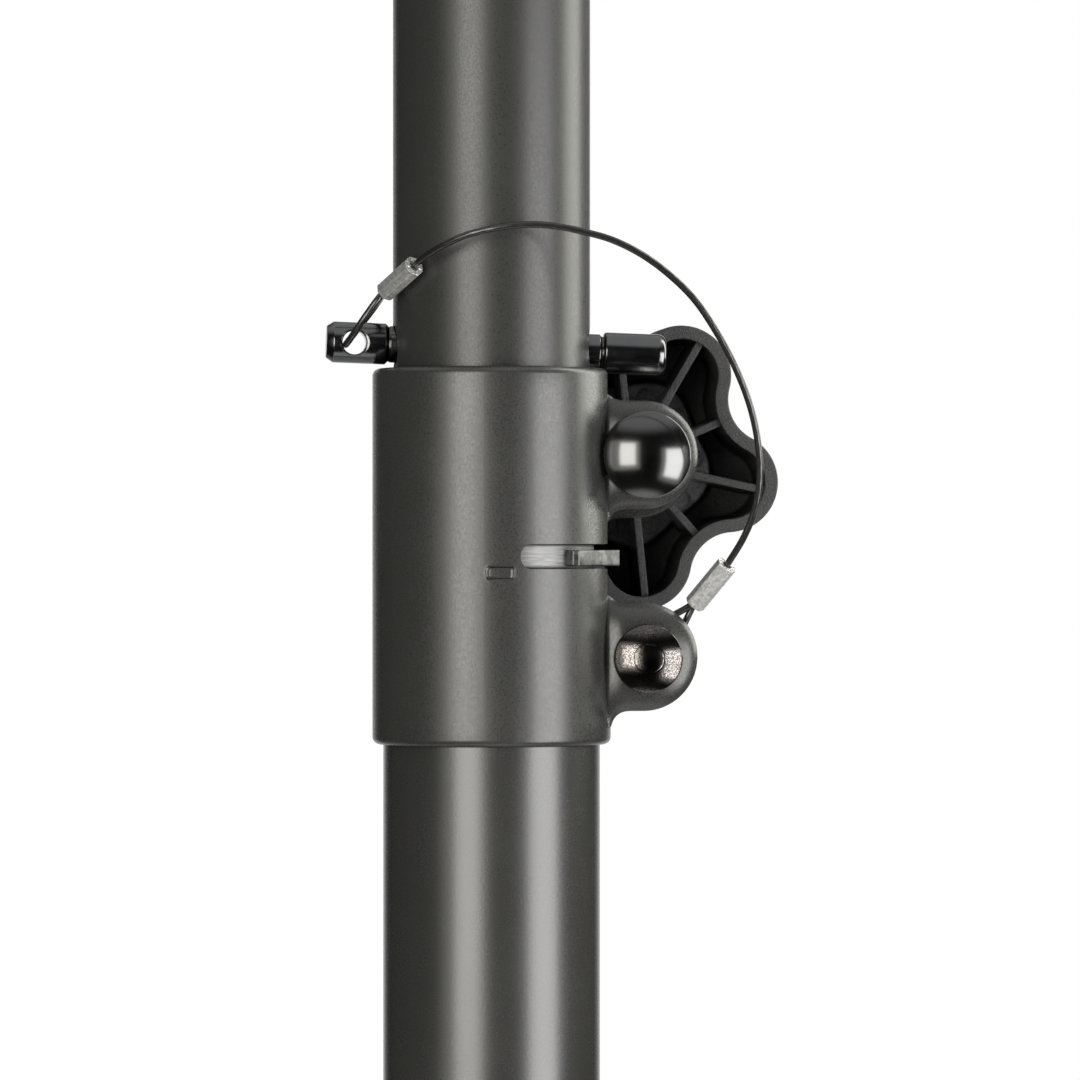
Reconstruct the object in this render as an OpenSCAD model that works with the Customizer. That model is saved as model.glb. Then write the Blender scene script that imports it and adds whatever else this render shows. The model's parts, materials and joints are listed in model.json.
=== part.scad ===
// Lighting stand: a three-legged base with a two-part telescopic column,
// a split clamp collar with a lobed knob, and a lock pin on a wire lanyard.
// Millimetres, +Z up, origin on the column's axis at the floor.

/* [Column] */
// Outside diameter of the mast, the upper tube
mast_d = 35; // [34:0.1:36]
// Wall of the mast tube
mast_wall = 1.5; // [1.2:0.1:2]
// Length of the mast tube
mast_len = 900; // [800:10:920]
// Height of the mast's top above the collar
mast_above = 350; // [320:10:400]
// Length of the plain grip at the mast's top, above the depth mark
grip_len = 120; // [100:5:130]
// Distance from one pin hole of the mast to the next
hole_step = 100; // [80:5:110]
// Wall of the base tube
base_wall = 1.5; // [1.2:0.1:2]
// Gap between the mast and the bore of the base tube, on one side
tube_gap = 0.25; // [0.2:0.05:0.5]
// Height of the collar's top above the floor
column_h = 1000; // [950:10:1050]
// Length of the base tube below the hub's middle
tube_below_hub = 25; // [22:1:32]

/* [Collar] */
// Height of the clamp collar
collar_h = 66.6; // [64:0.2:72]
// Wall of the clamp collar
collar_wall = 1.85; // [1.5:0.05:2.2]
// Radius of the collar's top and bottom outer edges
collar_edge_r = 1.3; // [0.8:0.1:1.4]
// Length of the base tube inside the collar
collar_overlap = 20.5; // [18:0.5:24]
// Depth of the slot's middle below the collar's top
slot_drop = 33.3; // [32:0.1:35]
// Height of the slot across the collar
slot_h = 4.4; // [3.6:0.2:5]
// Angle from the front to the slot's closed end
slot_start = 9.6; // [5:0.2:20]
// Height of the tab that stands out through the slot
tab_h = 2.8; // [2:0.1:3]
// Thickness of the tab
tab_t = 1; // [0.8:0.1:1.2]
// Length of the tab, along its own line
tab_len = 13.5; // [12:0.5:14]

/* [Ears] */
// Radius of an ear's round end
ear_r = 9.95; // [9:0.05:10.5]
// Distance from the column's axis to the ear bolts
ear_x = 26.5; // [26:0.1:29]
// Thickness of an ear plate
ear_t = 2.2; // [2.1:0.1:2.6]
// Gap between the two plates of a pair
ear_gap = 13.6; // [13:0.2:14]
// Depth of the clamp bolt below the collar's top
bolt_drop = 16.1; // [15:0.1:17]
// Depth of the rivet below the collar's top
rivet_drop = 51.4; // [50:0.1:53]

/* [Clamp bolt] */
// Diameter of the bolt's domed head
dome_d = 14.8; // [13:0.2:15]
// Radius of the bolt's shank
bolt_r = 4; // [3:0.1:4.5]
// Diameter of the rivet's head
rivet_head_d = 12.2; // [10:0.2:14]
// Radius of the rivet's shank
rivet_r = 3; // [2.5:0.1:3.2]

/* [Clamp knob] */
// Radius of a lobe
lobe_r = 9.1; // [8.5:0.1:9.6]
// Distance from the knob's axis to a lobe's centre
lobe_pos = 18; // [17.5:0.1:19]
// Radius to the bottom of a valley between lobes
valley_floor = 20; // [19.5:0.1:20.6]
// Wall of the knob's rim
rim_wall = 2.4; // [1.8:0.1:3]
// Depth of the knob's rim
knob_depth = 18; // [15:0.5:22]
// Thickness of the knob's closed face
knob_face = 3; // [2:0.2:4]
// Thickness of the ribs inside the knob
rib_t = 1.4; // [1:0.1:2]
// Radius of the knob's hub
hub_r = 11; // [10.4:0.1:12]

/* [Lock pin] */
// Radius of the lock pin
pin_r = 3.65; // [3.2:0.05:3.9]
// Radius of the neck near the pin's right end
neck_r = 3; // [2.5:0.05:3.1]
// Distance from the column's axis to the pin's left end
pin_left = 29.4; // [29:0.1:32]
// Distance from the column's axis to the pin's right end
pin_right = 31; // [28:0.1:34]
// Tilt of the pin, left end up
pin_tilt = 2.15; // [0:0.05:2.5]
// Height of the pin's axis over the collar, at the column's axis
pin_rise = 3.64; // [3.6:0.02:4.2]
// Radius of the eye through the pin's left end
eye_r = 2.2; // [1.6:0.1:2.4]

/* [Lanyard] */
// Diameter of the coated wire
wire_d = 1.2; // [1:0.1:1.4]
// Diameter of the crimped ferrules
ferrule_d = 3.4; // [3:0.1:3.8]

/* [Legs] */
// Angle of the open legs from the vertical
open_angle = 52; // [48:1:56]
// Length of a leg, from its top pivot to the middle of its foot's ball
leg_len = 680; // [650:5:720]
// Length of a brace, and of the leg above it, between pivots
brace_len = 290; // [270:2:300]
// Distance from the column's axis to the leg and brace pivots
pivot_r = 40; // [39:0.5:44]
// Outside diameter of a leg tube
leg_d = 22; // [20:0.5:23]
// Wall of a leg tube
leg_wall = 1.5; // [1.2:0.1:2]
// Distance from a leg's top pivot to where its tube starts
leg_tube_start = 14; // [13:0.5:18]
// Width of a brace bar
bar_w = 16; // [14:0.5:18]
// Thickness of a brace bar
bar_t = 3; // [2:0.2:4]
// Radius of the pivot bolts
pivot_bolt_r = 3; // [2.5:0.1:3.5]
// Radius of the ball of a rubber foot
foot_r = 14; // [13.5:0.5:16]
// Length of a rubber foot's sleeve
foot_len = 46; // [40:1:60]

/* [Hub and spider] */
// Radius of the hub and spider castings
casting_r = 25; // [24:0.5:27]
// Height of the hub
hub_h = 34; // [30:1:36]
// Radius of the lugs round their pivots
lug_r = 8; // [7:0.2:8.4]
// Thickness of a spider ear
spider_ear_t = 4; // [3:0.2:5]
// Width of the tongue at a leg's top
tongue_w = 12; // [10:0.5:14]
// Height of the spider's sleeve above the leg pivots
spider_up = 52; // [48:1:60]
// Height of the spider's sleeve below the leg pivots
spider_down = 14; // [12:1:16]
// Height of the spider knob above the leg pivots
spider_knob_up = 34; // [32:1:38]
// Radius of the spider knob's screw
screw_r = 4; // [3:0.1:5]
// Diameter of the spider knob
spider_knob_d = 38; // [32:1:44]

/* [Fits] */
// Clearance on the radius of a part that turns or slides in another
running = 0.05; // [0.02:0.01:0.1]
// Clearance between side faces of parts that turn past each other
side_gap = 0.3; // [0.2:0.05:0.5]

/* [Hidden] */
$fn = 96;

// Column and collar
mast_r = mast_d / 2;
mast_top = column_h + mast_above;
mast_bottom = mast_top - mast_len;
base_bore = mast_r + tube_gap;
base_r = base_bore + base_wall;
collar_bore = base_r + running;
collar_r = collar_bore + collar_wall;
tube_top = column_h - collar_h + collar_overlap;
lip_t = 1.5;
lip_reach = 1.1;
bush_h = 7;
band_gap = 0.4;
band_r = mast_r + running + 1.5;
band_top = column_h - lip_t - bush_h - 2 * band_gap;
band_low = tube_top + band_gap;
slot_z = column_h - slot_drop;
slot_end = 90 - slot_start;
tab_angle = -49;
split_low = column_h - rivet_drop - ear_r - 1;
depth_mark_w = 2;
depth_mark_t = 0.3;
plug_flange = 3;
plug_depth = 25;
insert_r = 8;
thread_r = 4.25;
insert_h = 20;

// Ears, bolt and rivet
ear_face = ear_gap / 2 + ear_t;
bolt_z = column_h - bolt_drop;
rivet_z = column_h - rivet_drop;
dome_r = dome_d / 2;
dome_h = 0.92 * dome_r;
washer_r = ear_x - sqrt(pow(collar_r, 2) - pow(ear_face, 2)) - 0.4;
washer_t = 1.2;
rivet_head_h = 3.6;
dimple_r = 2.9;
bolt_end = collar_r + 14;

// Clamp knob
rim_y = collar_r + 0.45;
hub_y = rim_y - 6;
valley_short = valley_floor - lobe_r;
valley_pos = (pow(lobe_pos, 2) - pow(valley_short, 2)) / (2 * (lobe_pos * cos(36) - valley_short));
valley_r = valley_pos - valley_floor;
lobe_turn = 59.8;
boss_r = 7;
// How far a valley's arc bites into the lobes that it would just touch
arc_bite = 0.03;
insert_ring_r = 6;
rib_drop = 1;

// Lock pin
pin_hole_r = pin_r + mast_r * tan(pin_tilt) + 0.08;
pin_z = column_h + pin_rise;
neck_start = mast_r - 0.2;
neck_len = 2.7;
eye_x = 24.5;
pin_chamfer = 1.4;

// Hub, spider and legs
foot_z = foot_r - 0.5;
spider_z = foot_z + leg_len * cos(open_angle);
hub_z = spider_z - 2 * brace_len * cos(open_angle);
base_low = hub_z - tube_below_hub;
leg_r = leg_d / 2;
leg_bore = leg_r - leg_wall;
leg_end = leg_len - 4;
bar_in = leg_r + side_gap;
bar_out = bar_in + bar_t;
casting_bore = base_r + running;
ear_in = tongue_w / 2 + side_gap;
ear_out = ear_in + spider_ear_t;
spider_lug_r = lug_r + 1;
nut_r = 5.2;
nut_h = 4;
head_h = 3;
boss_w = 9;
spider_knob_y = casting_r + 12;
spider_bush_h = 10;

// Lanyard: points in millimetres from the middle of the collar's top
pin_loop_route = [[-19.6, -7.1, 13.2], [-20.8, -7.6, 11.8], [-23.2, -6.9, 8.4], [-24.5, -4.9, 5.2],
    [-24.6, -1.6, 4.4], [-24.6, 2, 4.5], [-24.5, 4.8, 6.2], [-23.7, 5, 9], [-22.4, 2.6, 11.6],
    [-20.6, -1.8, 13.2], [-19.2, -5.6, 13.4]];
pin_ferrule = [[-19.2, -7, 13.4], [-14.6, -14, 17.6]];
lanyard_route = [[-14.6, -14, 17.6], [-12.9, -16.6, 19.1], [-9.8, -19.7, 21], [-5.8, -22, 22.7],
    [-1.2, -23.3, 23.8], [4, -23.8, 24.4], [9.3, -23.9, 24.2], [14.4, -23.8, 23.2], [19.4, -23.6, 21.8],
    [24.4, -23.2, 19.4], [29.2, -22.8, 16], [33.9, -22.2, 11.5], [38, -21.4, 5.6], [41.4, -20.4, -0.6],
    [44.1, -19.2, -7.4], [45.6, -17.8, -14], [46, -16.2, -19.8], [45.3, -14.4, -25.2],
    [43.6, -12.4, -30], [41.2, -9.8, -34.4], [40.3, -9, -35.7]];
// Steps a span on the wire's curves, and the lanyard's point that its two nodes share
wire_steps = 2;
lanyard_split = 8 * wire_steps;
rivet_ferrule = [[40.3, -9, -35.7], [35.7, -5, -41.8]];
rivet_loop_route = [[35.9, -4.4, -41.2], [34.6, -4.4, -42.3], [30, -4.5, -44.8], [25, -4.5, -47.5],
    [22.5, -4.4, -50.4], [23.3, -4, -54.4], [27.2, -3.4, -55.5], [30.4, -3, -52.8], [32.8, -2.8, -48],
    [34.9, -3.5, -43.5], [35.9, -4.2, -41.2]];

// A cylinder along Y from y0 to y1
module rod_y(r, y0, y1) {
    translate([0, y1, 0]) rotate([90, 0, 0]) cylinder(r = r, h = y1 - y0);
}

// A tube standing on z0
module pipe(outer, inner, z0, z1) {
    translate([0, 0, z0]) difference() {
        cylinder(r = outer, h = z1 - z0);
        translate([0, 0, -1]) cylinder(r = inner, h = z1 - z0 + 2);
    }
}

// What repeats at the three leg directions
module each_leg() {
    for (i = [1 : 3]) turn_to_leg(i) children();
}

module turn_to_leg(i) {
    rotate([0, 0, 90 + 120 * (i - 1)]) children();
}

// The local frame of a leg: top pivot at the origin, the leg along -Z
module leg_frame(i) {
    turn_to_leg(i) translate([pivot_r, 0, spider_z]) rotate([0, -open_angle, 0]) children();
}

// The split between the ears, cut from the collar, the bush and the band
module ear_split(z0, z1) {
    translate([0, -ear_gap / 2, z0]) cube([collar_r + 2, ear_gap, z1 - z0]);
}

// Base tube, from below the hub up into the collar
module base_tube() {
    color("#26282b") pipe(base_r, base_bore, base_low, tube_top);
}

// Ear plates: a round end and a foot that reaches the collar wall
module ear_pair(z) {
    translate([0, 0, z]) for (side = [-1, 1]) {
        y0 = side > 0 ? ear_gap / 2 : -ear_face;
        difference() {
            union() {
                translate([ear_x, 0, 0]) rod_y(ear_r, y0, y0 + ear_t);
                translate([collar_bore - 1.5, y0, -ear_r]) cube([ear_x - collar_bore + 1.5, ear_t, 2 * ear_r]);
            }
            translate([0, 0, -ear_r - 1]) cylinder(r = collar_bore, h = 2 * ear_r + 2);
        }
    }
}

// Collar wall with an inward lip at the top and rounded outer edges
module collar_shell() {
    e = collar_edge_r;
    low = column_h - collar_h;
    rotate_extrude() difference() {
        union() {
            translate([collar_bore, low]) square([collar_wall, collar_h]);
            translate([collar_bore - lip_reach, column_h - lip_t]) square([lip_reach + 0.1, lip_t]);
        }
        translate([collar_r - e, column_h - e]) difference() {
            square(e + 1);
            circle(r = e);
        }
        translate([collar_r - e, low + e]) difference() {
            translate([0, -e - 1]) square(e + 1);
            circle(r = e);
        }
    }
}

// The slot: a wedge of ring round the +X side, with round ends
module collar_slot() {
    translate([0, 0, slot_z]) {
        rotate([0, 0, -slot_end]) rotate_extrude(angle = 2 * slot_end) {
            translate([collar_bore - 3, -slot_h / 2]) square([collar_wall + 5, slot_h]);
        }
        for (s = [-1, 1]) rotate([0, 0, s * slot_end]) translate([collar_bore - 3, 0, 0])
            rotate([0, 90, 0]) cylinder(r = slot_h / 2, h = collar_wall + 5);
    }
}

module clamp_collar() {
    color("#2b2d30") difference() {
        union() {
            collar_shell();
            ear_pair(bolt_z);
            ear_pair(rivet_z);
        }
        ear_split(split_low, column_h + 1);
        collar_slot();
        translate([ear_x, 0, bolt_z]) rod_y(bolt_r, -ear_face - 1, ear_face + 1);
        translate([ear_x, 0, rivet_z]) rod_y(rivet_r, -ear_face - 1, ear_face + 1);
    }
}

// Steel band that grips the mast, with a tab out through the slot
module clamp_band() {
    color("#b9babb") union() {
        difference() {
            pipe(band_r, mast_r + running, band_low, band_top);
            ear_split(band_low - 1, band_top + 1);
        }
        rotate([0, 0, tab_angle]) translate([band_r - tab_t, 0, slot_z - tab_h / 2])
            cube([tab_t, tab_len, tab_h]);
    }
}

// Plastic bush under the collar's lip, split as the collar is
module guide_bush() {
    color("#1b1c1e") difference() {
        pipe(collar_bore - running, mast_r + running, column_h - lip_t - bush_h - band_gap,
            column_h - lip_t - running);
        ear_split(band_low, column_h);
    }
}

// Bolt with a domed head on the front ear and its thread in the knob
module clamp_bolt() {
    color("#0d0d0f") translate([ear_x, 0, bolt_z]) {
        intersection() {
            translate([0, -ear_face - dome_h + dome_r, 0]) sphere(r = dome_r);
            rod_y(dome_r, -ear_face - dome_r, -ear_face);
        }
        rod_y(bolt_r, -ear_face, bolt_end);
    }
}

module clamp_washer() {
    color("#3a3b3d") translate([ear_x, 0, bolt_z]) difference() {
        rod_y(washer_r, ear_face, ear_face + washer_t);
        rod_y(bolt_r + running, ear_face - 1, ear_face + washer_t + 1);
    }
}

// Rivet with a low dome, a dimple and a flat tail behind
module collar_rivet() {
    cap_r = (pow(rivet_head_d / 2, 2) + pow(rivet_head_h, 2)) / (2 * rivet_head_h);
    color("#1d1c1b") translate([ear_x, 0, rivet_z]) difference() {
        union() {
            intersection() {
                translate([0, -ear_face - rivet_head_h + cap_r, 0]) sphere(r = cap_r);
                rod_y(rivet_head_d / 2, -ear_face - rivet_head_h, -ear_face);
            }
            rod_y(rivet_r, -ear_face, ear_face + 2);
            rod_y(rivet_head_d / 2 - 1, ear_face, ear_face + 2);
        }
        rod_y(dimple_r, -ear_face - rivet_head_h - 1, -ear_face - rivet_head_h + 0.4);
    }
}

// Outline of the knob, drawn in by the distance d
module knob_outline(d) {
    difference() {
        polygon([for (k = [0 : 9]) let (a = 36 * k, r = k % 2 == 0 ? lobe_pos : valley_pos)
            [r * cos(a), r * sin(a)]]);
        for (k = [0 : 4]) rotate(36 + 72 * k) translate([valley_pos, 0]) circle(r = valley_r + arc_bite + d);
    }
    for (k = [0 : 4]) rotate(72 * k) translate([lobe_pos, 0]) circle(r = lobe_r - d);
}

// Five-lobed knob, open and ribbed on the side towards the ears
module clamp_knob() {
    color("#2f3133") translate([ear_x, 0, bolt_z]) rotate([-90, 0, 0]) rotate([0, 0, -lobe_turn])
        difference() {
            union() {
                translate([0, 0, rim_y]) difference() {
                    linear_extrude(knob_depth) knob_outline(0);
                    translate([0, 0, -1]) linear_extrude(knob_depth - knob_face + 1) knob_outline(rim_wall);
                }
                translate([0, 0, hub_y]) cylinder(r = boss_r + 1, h = rim_y + knob_depth - hub_y - 1);
                translate([0, 0, hub_y]) difference() {
                    cylinder(r = hub_r, h = rim_y + knob_depth - hub_y - 1);
                    translate([0, 0, -1]) cylinder(r = hub_r - 1.4, h = rim_y + knob_depth - knob_face - hub_y + 1);
                }
                for (k = [0 : 9]) rotate([0, 0, 36 * k]) translate([boss_r, -rib_t / 2, rim_y + rib_drop])
                    cube([(k % 2 == 0 ? lobe_pos + lobe_r : valley_floor) - boss_r - 1, rib_t, knob_depth - 2]);
            }
            translate([0, 0, hub_y - 1]) cylinder(r = insert_ring_r, h = bolt_end - hub_y + 2);
        }
}

// Threaded brass insert of the knob; it turns on the clamp bolt
module knob_insert() {
    color("#a58a4f") translate([ear_x, 0, bolt_z]) difference() {
        rod_y(insert_ring_r, ear_face + washer_t + running, bolt_end + 1);
        rod_y(bolt_r + running, ear_face, bolt_end + running);
    }
}

// Cast hub at the foot of the base tube, with a lug for each brace
module bottom_hub() {
    color("#232427") difference() {
        union() {
            translate([0, 0, hub_z - hub_h / 2]) cylinder(r = casting_r, h = hub_h);
            each_leg() translate([0, 0, hub_z]) {
                translate([pivot_r, 0, 0]) rod_y(lug_r, -leg_r, leg_r);
                translate([casting_bore, -leg_r, -lug_r]) cube([pivot_r - casting_bore, leg_d, 2 * lug_r]);
            }
        }
        translate([0, 0, hub_z - hub_h]) cylinder(r = casting_bore, h = 2 * hub_h);
        each_leg() translate([pivot_r, 0, hub_z]) rod_y(pivot_bolt_r, -leg_r - 1, leg_r + 1);
        rotate([0, 0, 30]) each_leg() translate([0, 0, hub_z]) rotate([0, 90, 0])
            cylinder(r = pivot_bolt_r - 0.5, h = casting_r + 1);
    }
}

// Set screws that hold the hub on the tube
module hub_screws() {
    color("#8d8f92") rotate([0, 0, 30]) each_leg() translate([base_r + running, 0, hub_z])
        rotate([0, 90, 0]) difference() {
            cylinder(r = pivot_bolt_r - 0.5, h = casting_r - base_r - 0.6);
            translate([0, 0, casting_r - base_r - 3]) cylinder(r = 1.5, h = 4, $fn = 6);
        }
}

// One pivot bolt along Y with a button head and a nut
module pivot_bolt(half) {
    rod_y(pivot_bolt_r, -half - head_h + 1, half + nut_h - 1);
    rod_y(nut_r + 0.6, -half - head_h, -half - running);
    translate([0, half + nut_h, 0]) rotate([90, 0, 0]) cylinder(r = nut_r, h = nut_h - running, $fn = 6);
}

module hub_pivot_bolts() {
    color("#9a9c9f") each_leg() translate([pivot_r, 0, hub_z]) pivot_bolt(bar_out);
}

module tube_end_plug() {
    color("#1a1b1c") union() {
        translate([0, 0, base_low - plug_flange]) cylinder(r = base_r, h = plug_flange);
        translate([0, 0, base_low - 0.1]) cylinder(r = base_bore - running, h = 12);
    }
}

// Mast with a depth mark under its grip and pin holes along X
module mast_tube() {
    low_holes = floor((pin_z - mast_bottom - 40) / hole_step);
    high_holes = floor((mast_top - grip_len - 20 - pin_z) / hole_step);
    color("#26282b") difference() {
        pipe(mast_r, mast_r - mast_wall, mast_bottom, mast_top);
        pipe(mast_r + 1, mast_r - depth_mark_t, mast_top - grip_len - depth_mark_w, mast_top - grip_len);
        for (k = [-low_holes : high_holes]) translate([-mast_r - 1, 0, pin_z + k * hole_step])
            rotate([0, 90, 0]) cylinder(r = pin_hole_r, h = mast_d + 2);
    }
}

module top_plug() {
    color("#1a1b1c") difference() {
        union() {
            translate([0, 0, mast_top]) cylinder(r = mast_r - 0.4, h = plug_flange);
            translate([0, 0, mast_top - plug_depth])
                cylinder(r = mast_r - mast_wall - running, h = plug_depth + 1);
        }
        translate([0, 0, mast_top + plug_flange - insert_h]) cylinder(r = insert_r, h = insert_h + 1);
    }
}

// Steel insert with a threaded hole in the mast's top
module top_insert() {
    color("#b4b5b7") translate([0, 0, mast_top + plug_flange - insert_h]) difference() {
        cylinder(r = insert_r, h = insert_h);
        translate([0, 0, 4]) cylinder(r = thread_r, h = insert_h);
    }
}

// Plastic foot of the mast that slides in the base tube
module mast_bottom_plug() {
    color("#1b1c1e") union() {
        translate([0, 0, mast_bottom - 8]) cylinder(r = base_bore - running, h = 8);
        translate([0, 0, mast_bottom - 0.1]) cylinder(r = mast_r - mast_wall - running, h = 20);
    }
}

// Lock pin: plain left end with an eye, a neck and a chamfered right end
module lock_pin() {
    c = pin_chamfer;
    neck_end = neck_start + neck_len;
    color("#101113") translate([0, 0, pin_z]) rotate([0, pin_tilt, 0]) difference() {
        rotate([0, 90, 0]) rotate_extrude() polygon([[0, -pin_left], [pin_r - c, -pin_left],
            [pin_r, -pin_left + c], [pin_r, neck_start - 0.6], [neck_r, neck_start],
            [neck_r, neck_end - 0.4], [pin_r - 0.3, neck_end - 0.4], [pin_r, neck_end],
            [pin_r, pin_right - 1.2], [pin_r - 0.9, pin_right], [0, pin_right]]);
        translate([-eye_x, 0, 0]) rod_y(eye_r, -pin_r - 1, pin_r + 1);
    }
}

// Brace i: two flat bars from the hub's lug up to the leg
module brace(i) {
    color("#2b2d30") turn_to_leg(i) translate([pivot_r, 0, hub_z]) rotate([0, open_angle, 0])
        for (y0 = [bar_in, -bar_out]) difference() {
            union() {
                translate([-bar_w / 2, y0, 0]) cube([bar_w, bar_t, brace_len]);
                for (z = [0, brace_len]) translate([0, 0, z]) rod_y(bar_w / 2, y0, y0 + bar_t);
            }
            for (z = [0, brace_len]) translate([0, 0, z])
                rod_y(pivot_bolt_r + running, y0 - 1, y0 + bar_t + 1);
        }
}

module leg_tube(i) {
    color("#26282b") leg_frame(i) difference() {
        pipe(leg_r, leg_bore, -leg_end, -leg_tube_start);
        translate([0, 0, -brace_len]) rod_y(pivot_bolt_r, -leg_r - 1, leg_r + 1);
    }
}

// Top fitting of a leg: a tongue between the spider's ears and a plug
module leg_top(i) {
    color("#1e1f21") leg_frame(i) difference() {
        union() {
            rod_y(lug_r, -tongue_w / 2, tongue_w / 2);
            translate([-lug_r, -tongue_w / 2, -leg_tube_start])
                cube([2 * lug_r, tongue_w, leg_tube_start]);
            translate([0, 0, -leg_tube_start]) cylinder(r = leg_bore - running, h = 3);
            translate([0, 0, -leg_tube_start - 30]) cylinder(r = leg_bore - running, h = 31);
        }
        rod_y(pivot_bolt_r + running, -tongue_w, tongue_w);
    }
}

// Rubber foot: a sleeve on the tube's end and a ball cut flat on the floor
module foot(i) {
    color("#151515") difference() {
        leg_frame(i) difference() {
            union() {
                translate([0, 0, -leg_len]) sphere(r = foot_r);
                translate([0, 0, -leg_len]) cylinder(r = foot_r, h = foot_len);
            }
            translate([0, 0, -leg_end]) cylinder(r = leg_r, h = foot_len + 10);
        }
        translate([0, 0, -50]) cylinder(r = 1000, h = 50);
    }
}

module leg_bolt(i) {
    color("#9a9c9f") leg_frame(i) translate([0, 0, -brace_len]) pivot_bolt(bar_out);
}

// Cast spider that slides on the base tube and carries the legs
module leg_spider() {
    color("#232427") translate([0, 0, spider_z]) difference() {
        union() {
            translate([0, 0, -spider_down]) cylinder(r = casting_r, h = spider_up + spider_down);
            each_leg() difference() {
                union() {
                    translate([pivot_r, 0, 0]) rod_y(spider_lug_r, -ear_out, ear_out);
                    translate([casting_bore, -ear_out, -spider_lug_r])
                        cube([pivot_r - casting_bore, 2 * ear_out, 2 * spider_lug_r]);
                }
                translate([casting_r + 1, -ear_in, -20]) cube([pivot_r, 2 * ear_in, 40]);
            }
            translate([0, -casting_r + 2, spider_knob_up]) rod_y(boss_w, -8, 0);
        }
        translate([0, 0, -spider_down - 1]) cylinder(r = casting_bore, h = spider_up + spider_down + 2);
        each_leg() translate([pivot_r, 0, 0]) rod_y(pivot_bolt_r, -ear_out - 1, ear_out + 1);
        translate([0, 0, spider_knob_up]) rod_y(screw_r + running, -casting_r - 10, 0);
        translate([0, 0, spider_up - spider_bush_h]) cylinder(r = casting_bore + 1.5, h = spider_bush_h + 1);
    }
}

// Plastic bush in the top of the spider
module spider_bush() {
    color("#1b1c1e") translate([0, 0, spider_z])
        pipe(casting_bore + 1.5 - 0.02, casting_bore, spider_up - spider_bush_h + 0.1, spider_up + 1);
}

module spider_pivot_bolts() {
    color("#9a9c9f") each_leg() translate([pivot_r, 0, spider_z]) pivot_bolt(ear_out);
}

// Round grip of the spider's knob, with finger scallops
module spider_knob() {
    color("#2f3133") translate([0, -spider_knob_y, spider_z + spider_knob_up]) difference() {
        union() {
            rod_y(spider_knob_d / 2, -16, -2);
            rod_y(boss_r + 1, -16, 0);
        }
        for (k = [0 : 5]) rotate([0, 60 * k, 0]) translate([spider_knob_d / 2 + 4, 0, 0])
            rod_y(8, -17, 1);
        rod_y(screw_r, -10, 1);
    }
}

// Screw of the spider's knob; its tip bears on the base tube
module spider_screw() {
    color("#9a9c9f") translate([0, 0, spider_z + spider_knob_up])
        rod_y(screw_r, -spider_knob_y - 10, -base_r - running);
}

// Catmull-Rom curve through the points of a route, n steps a span
function along(p, i) = p[max(0, min(len(p) - 1, i))];
function span_point(a, b, c, d, t) = 0.5 * (2 * b + (c - a) * t + (2 * a - 5 * b + 4 * c - d) * t * t
    + (3 * b - a - 3 * c + d) * t * t * t);
function smooth(p, n) = [for (i = [0 : len(p) - 2], k = [0 : n - 1])
    span_point(along(p, i - 1), p[i], p[i + 1], along(p, i + 2), k / n), p[len(p) - 1]];
function unit(v) = v / norm(v);

// Tangents, and side vectors carried from ring to ring with no twist
function tangent(c, i) = unit(along(c, i + 1) - along(c, i - 1));
function side_step(s, t) = unit(s - (s * t) * t);
function sides(c) = [for (i = 0, s = side_step([0.3, 0.2, 0.93], tangent(c, 0)); i < len(c);
    i = i + 1, s = side_step(s, tangent(c, min(i, len(c) - 1)))) s];

// A round wire along the curve c from point a to point b, one ring of eight points at each point
module wire(c, a, b) {
    m = 8;
    u = sides(c);
    ring_points = [for (i = [a : b], k = [0 : m - 1]) c[i] + wire_d / 2
        * (cos(45 * k) * u[i] + sin(45 * k) * cross(tangent(c, i), u[i]))];
    walls = [for (i = [0 : b - a - 1], k = [0 : m - 1])
        [i * m + k, (i + 1) * m + k, (i + 1) * m + (k + 1) % m, i * m + (k + 1) % m]];
    ends = [[for (k = [0 : m - 1]) k], [for (k = [m - 1 : -1 : 0]) (b - a) * m + k]];
    polyhedron(points = ring_points, faces = concat(walls, ends));
}

// A ferrule between its two end points
module ferrule(ends) {
    v = ends[1] - ends[0];
    translate(ends[0]) rotate([0, acos(v[2] / norm(v)), atan2(v[1], v[0])])
        cylinder(r = ferrule_d / 2, h = norm(v));
}

module on_collar() {
    translate([0, 0, column_h]) children();
}

module pin_ferrule() {
    color("#aeb0b2") on_collar() ferrule(pin_ferrule);
}

module rivet_ferrule() {
    color("#aeb0b2") on_collar() ferrule(rivet_ferrule);
}

module pin_loop() {
    c = smooth(pin_loop_route, wire_steps);
    color("#151515") on_collar() wire(c, 0, len(c) - 1);
}

module rivet_loop() {
    c = smooth(rivet_loop_route, wire_steps);
    color("#151515") on_collar() wire(c, 0, len(c) - 1);
}

// The lanyard's run is one curve, and its two nodes meet on the same ring
module lanyard_upper() {
    c = smooth(lanyard_route, wire_steps);
    color("#151515") on_collar() wire(c, 0, lanyard_split);
}

module lanyard_lower() {
    c = smooth(lanyard_route, wire_steps);
    color("#151515") on_collar() wire(c, lanyard_split, len(c) - 1);
}

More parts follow.
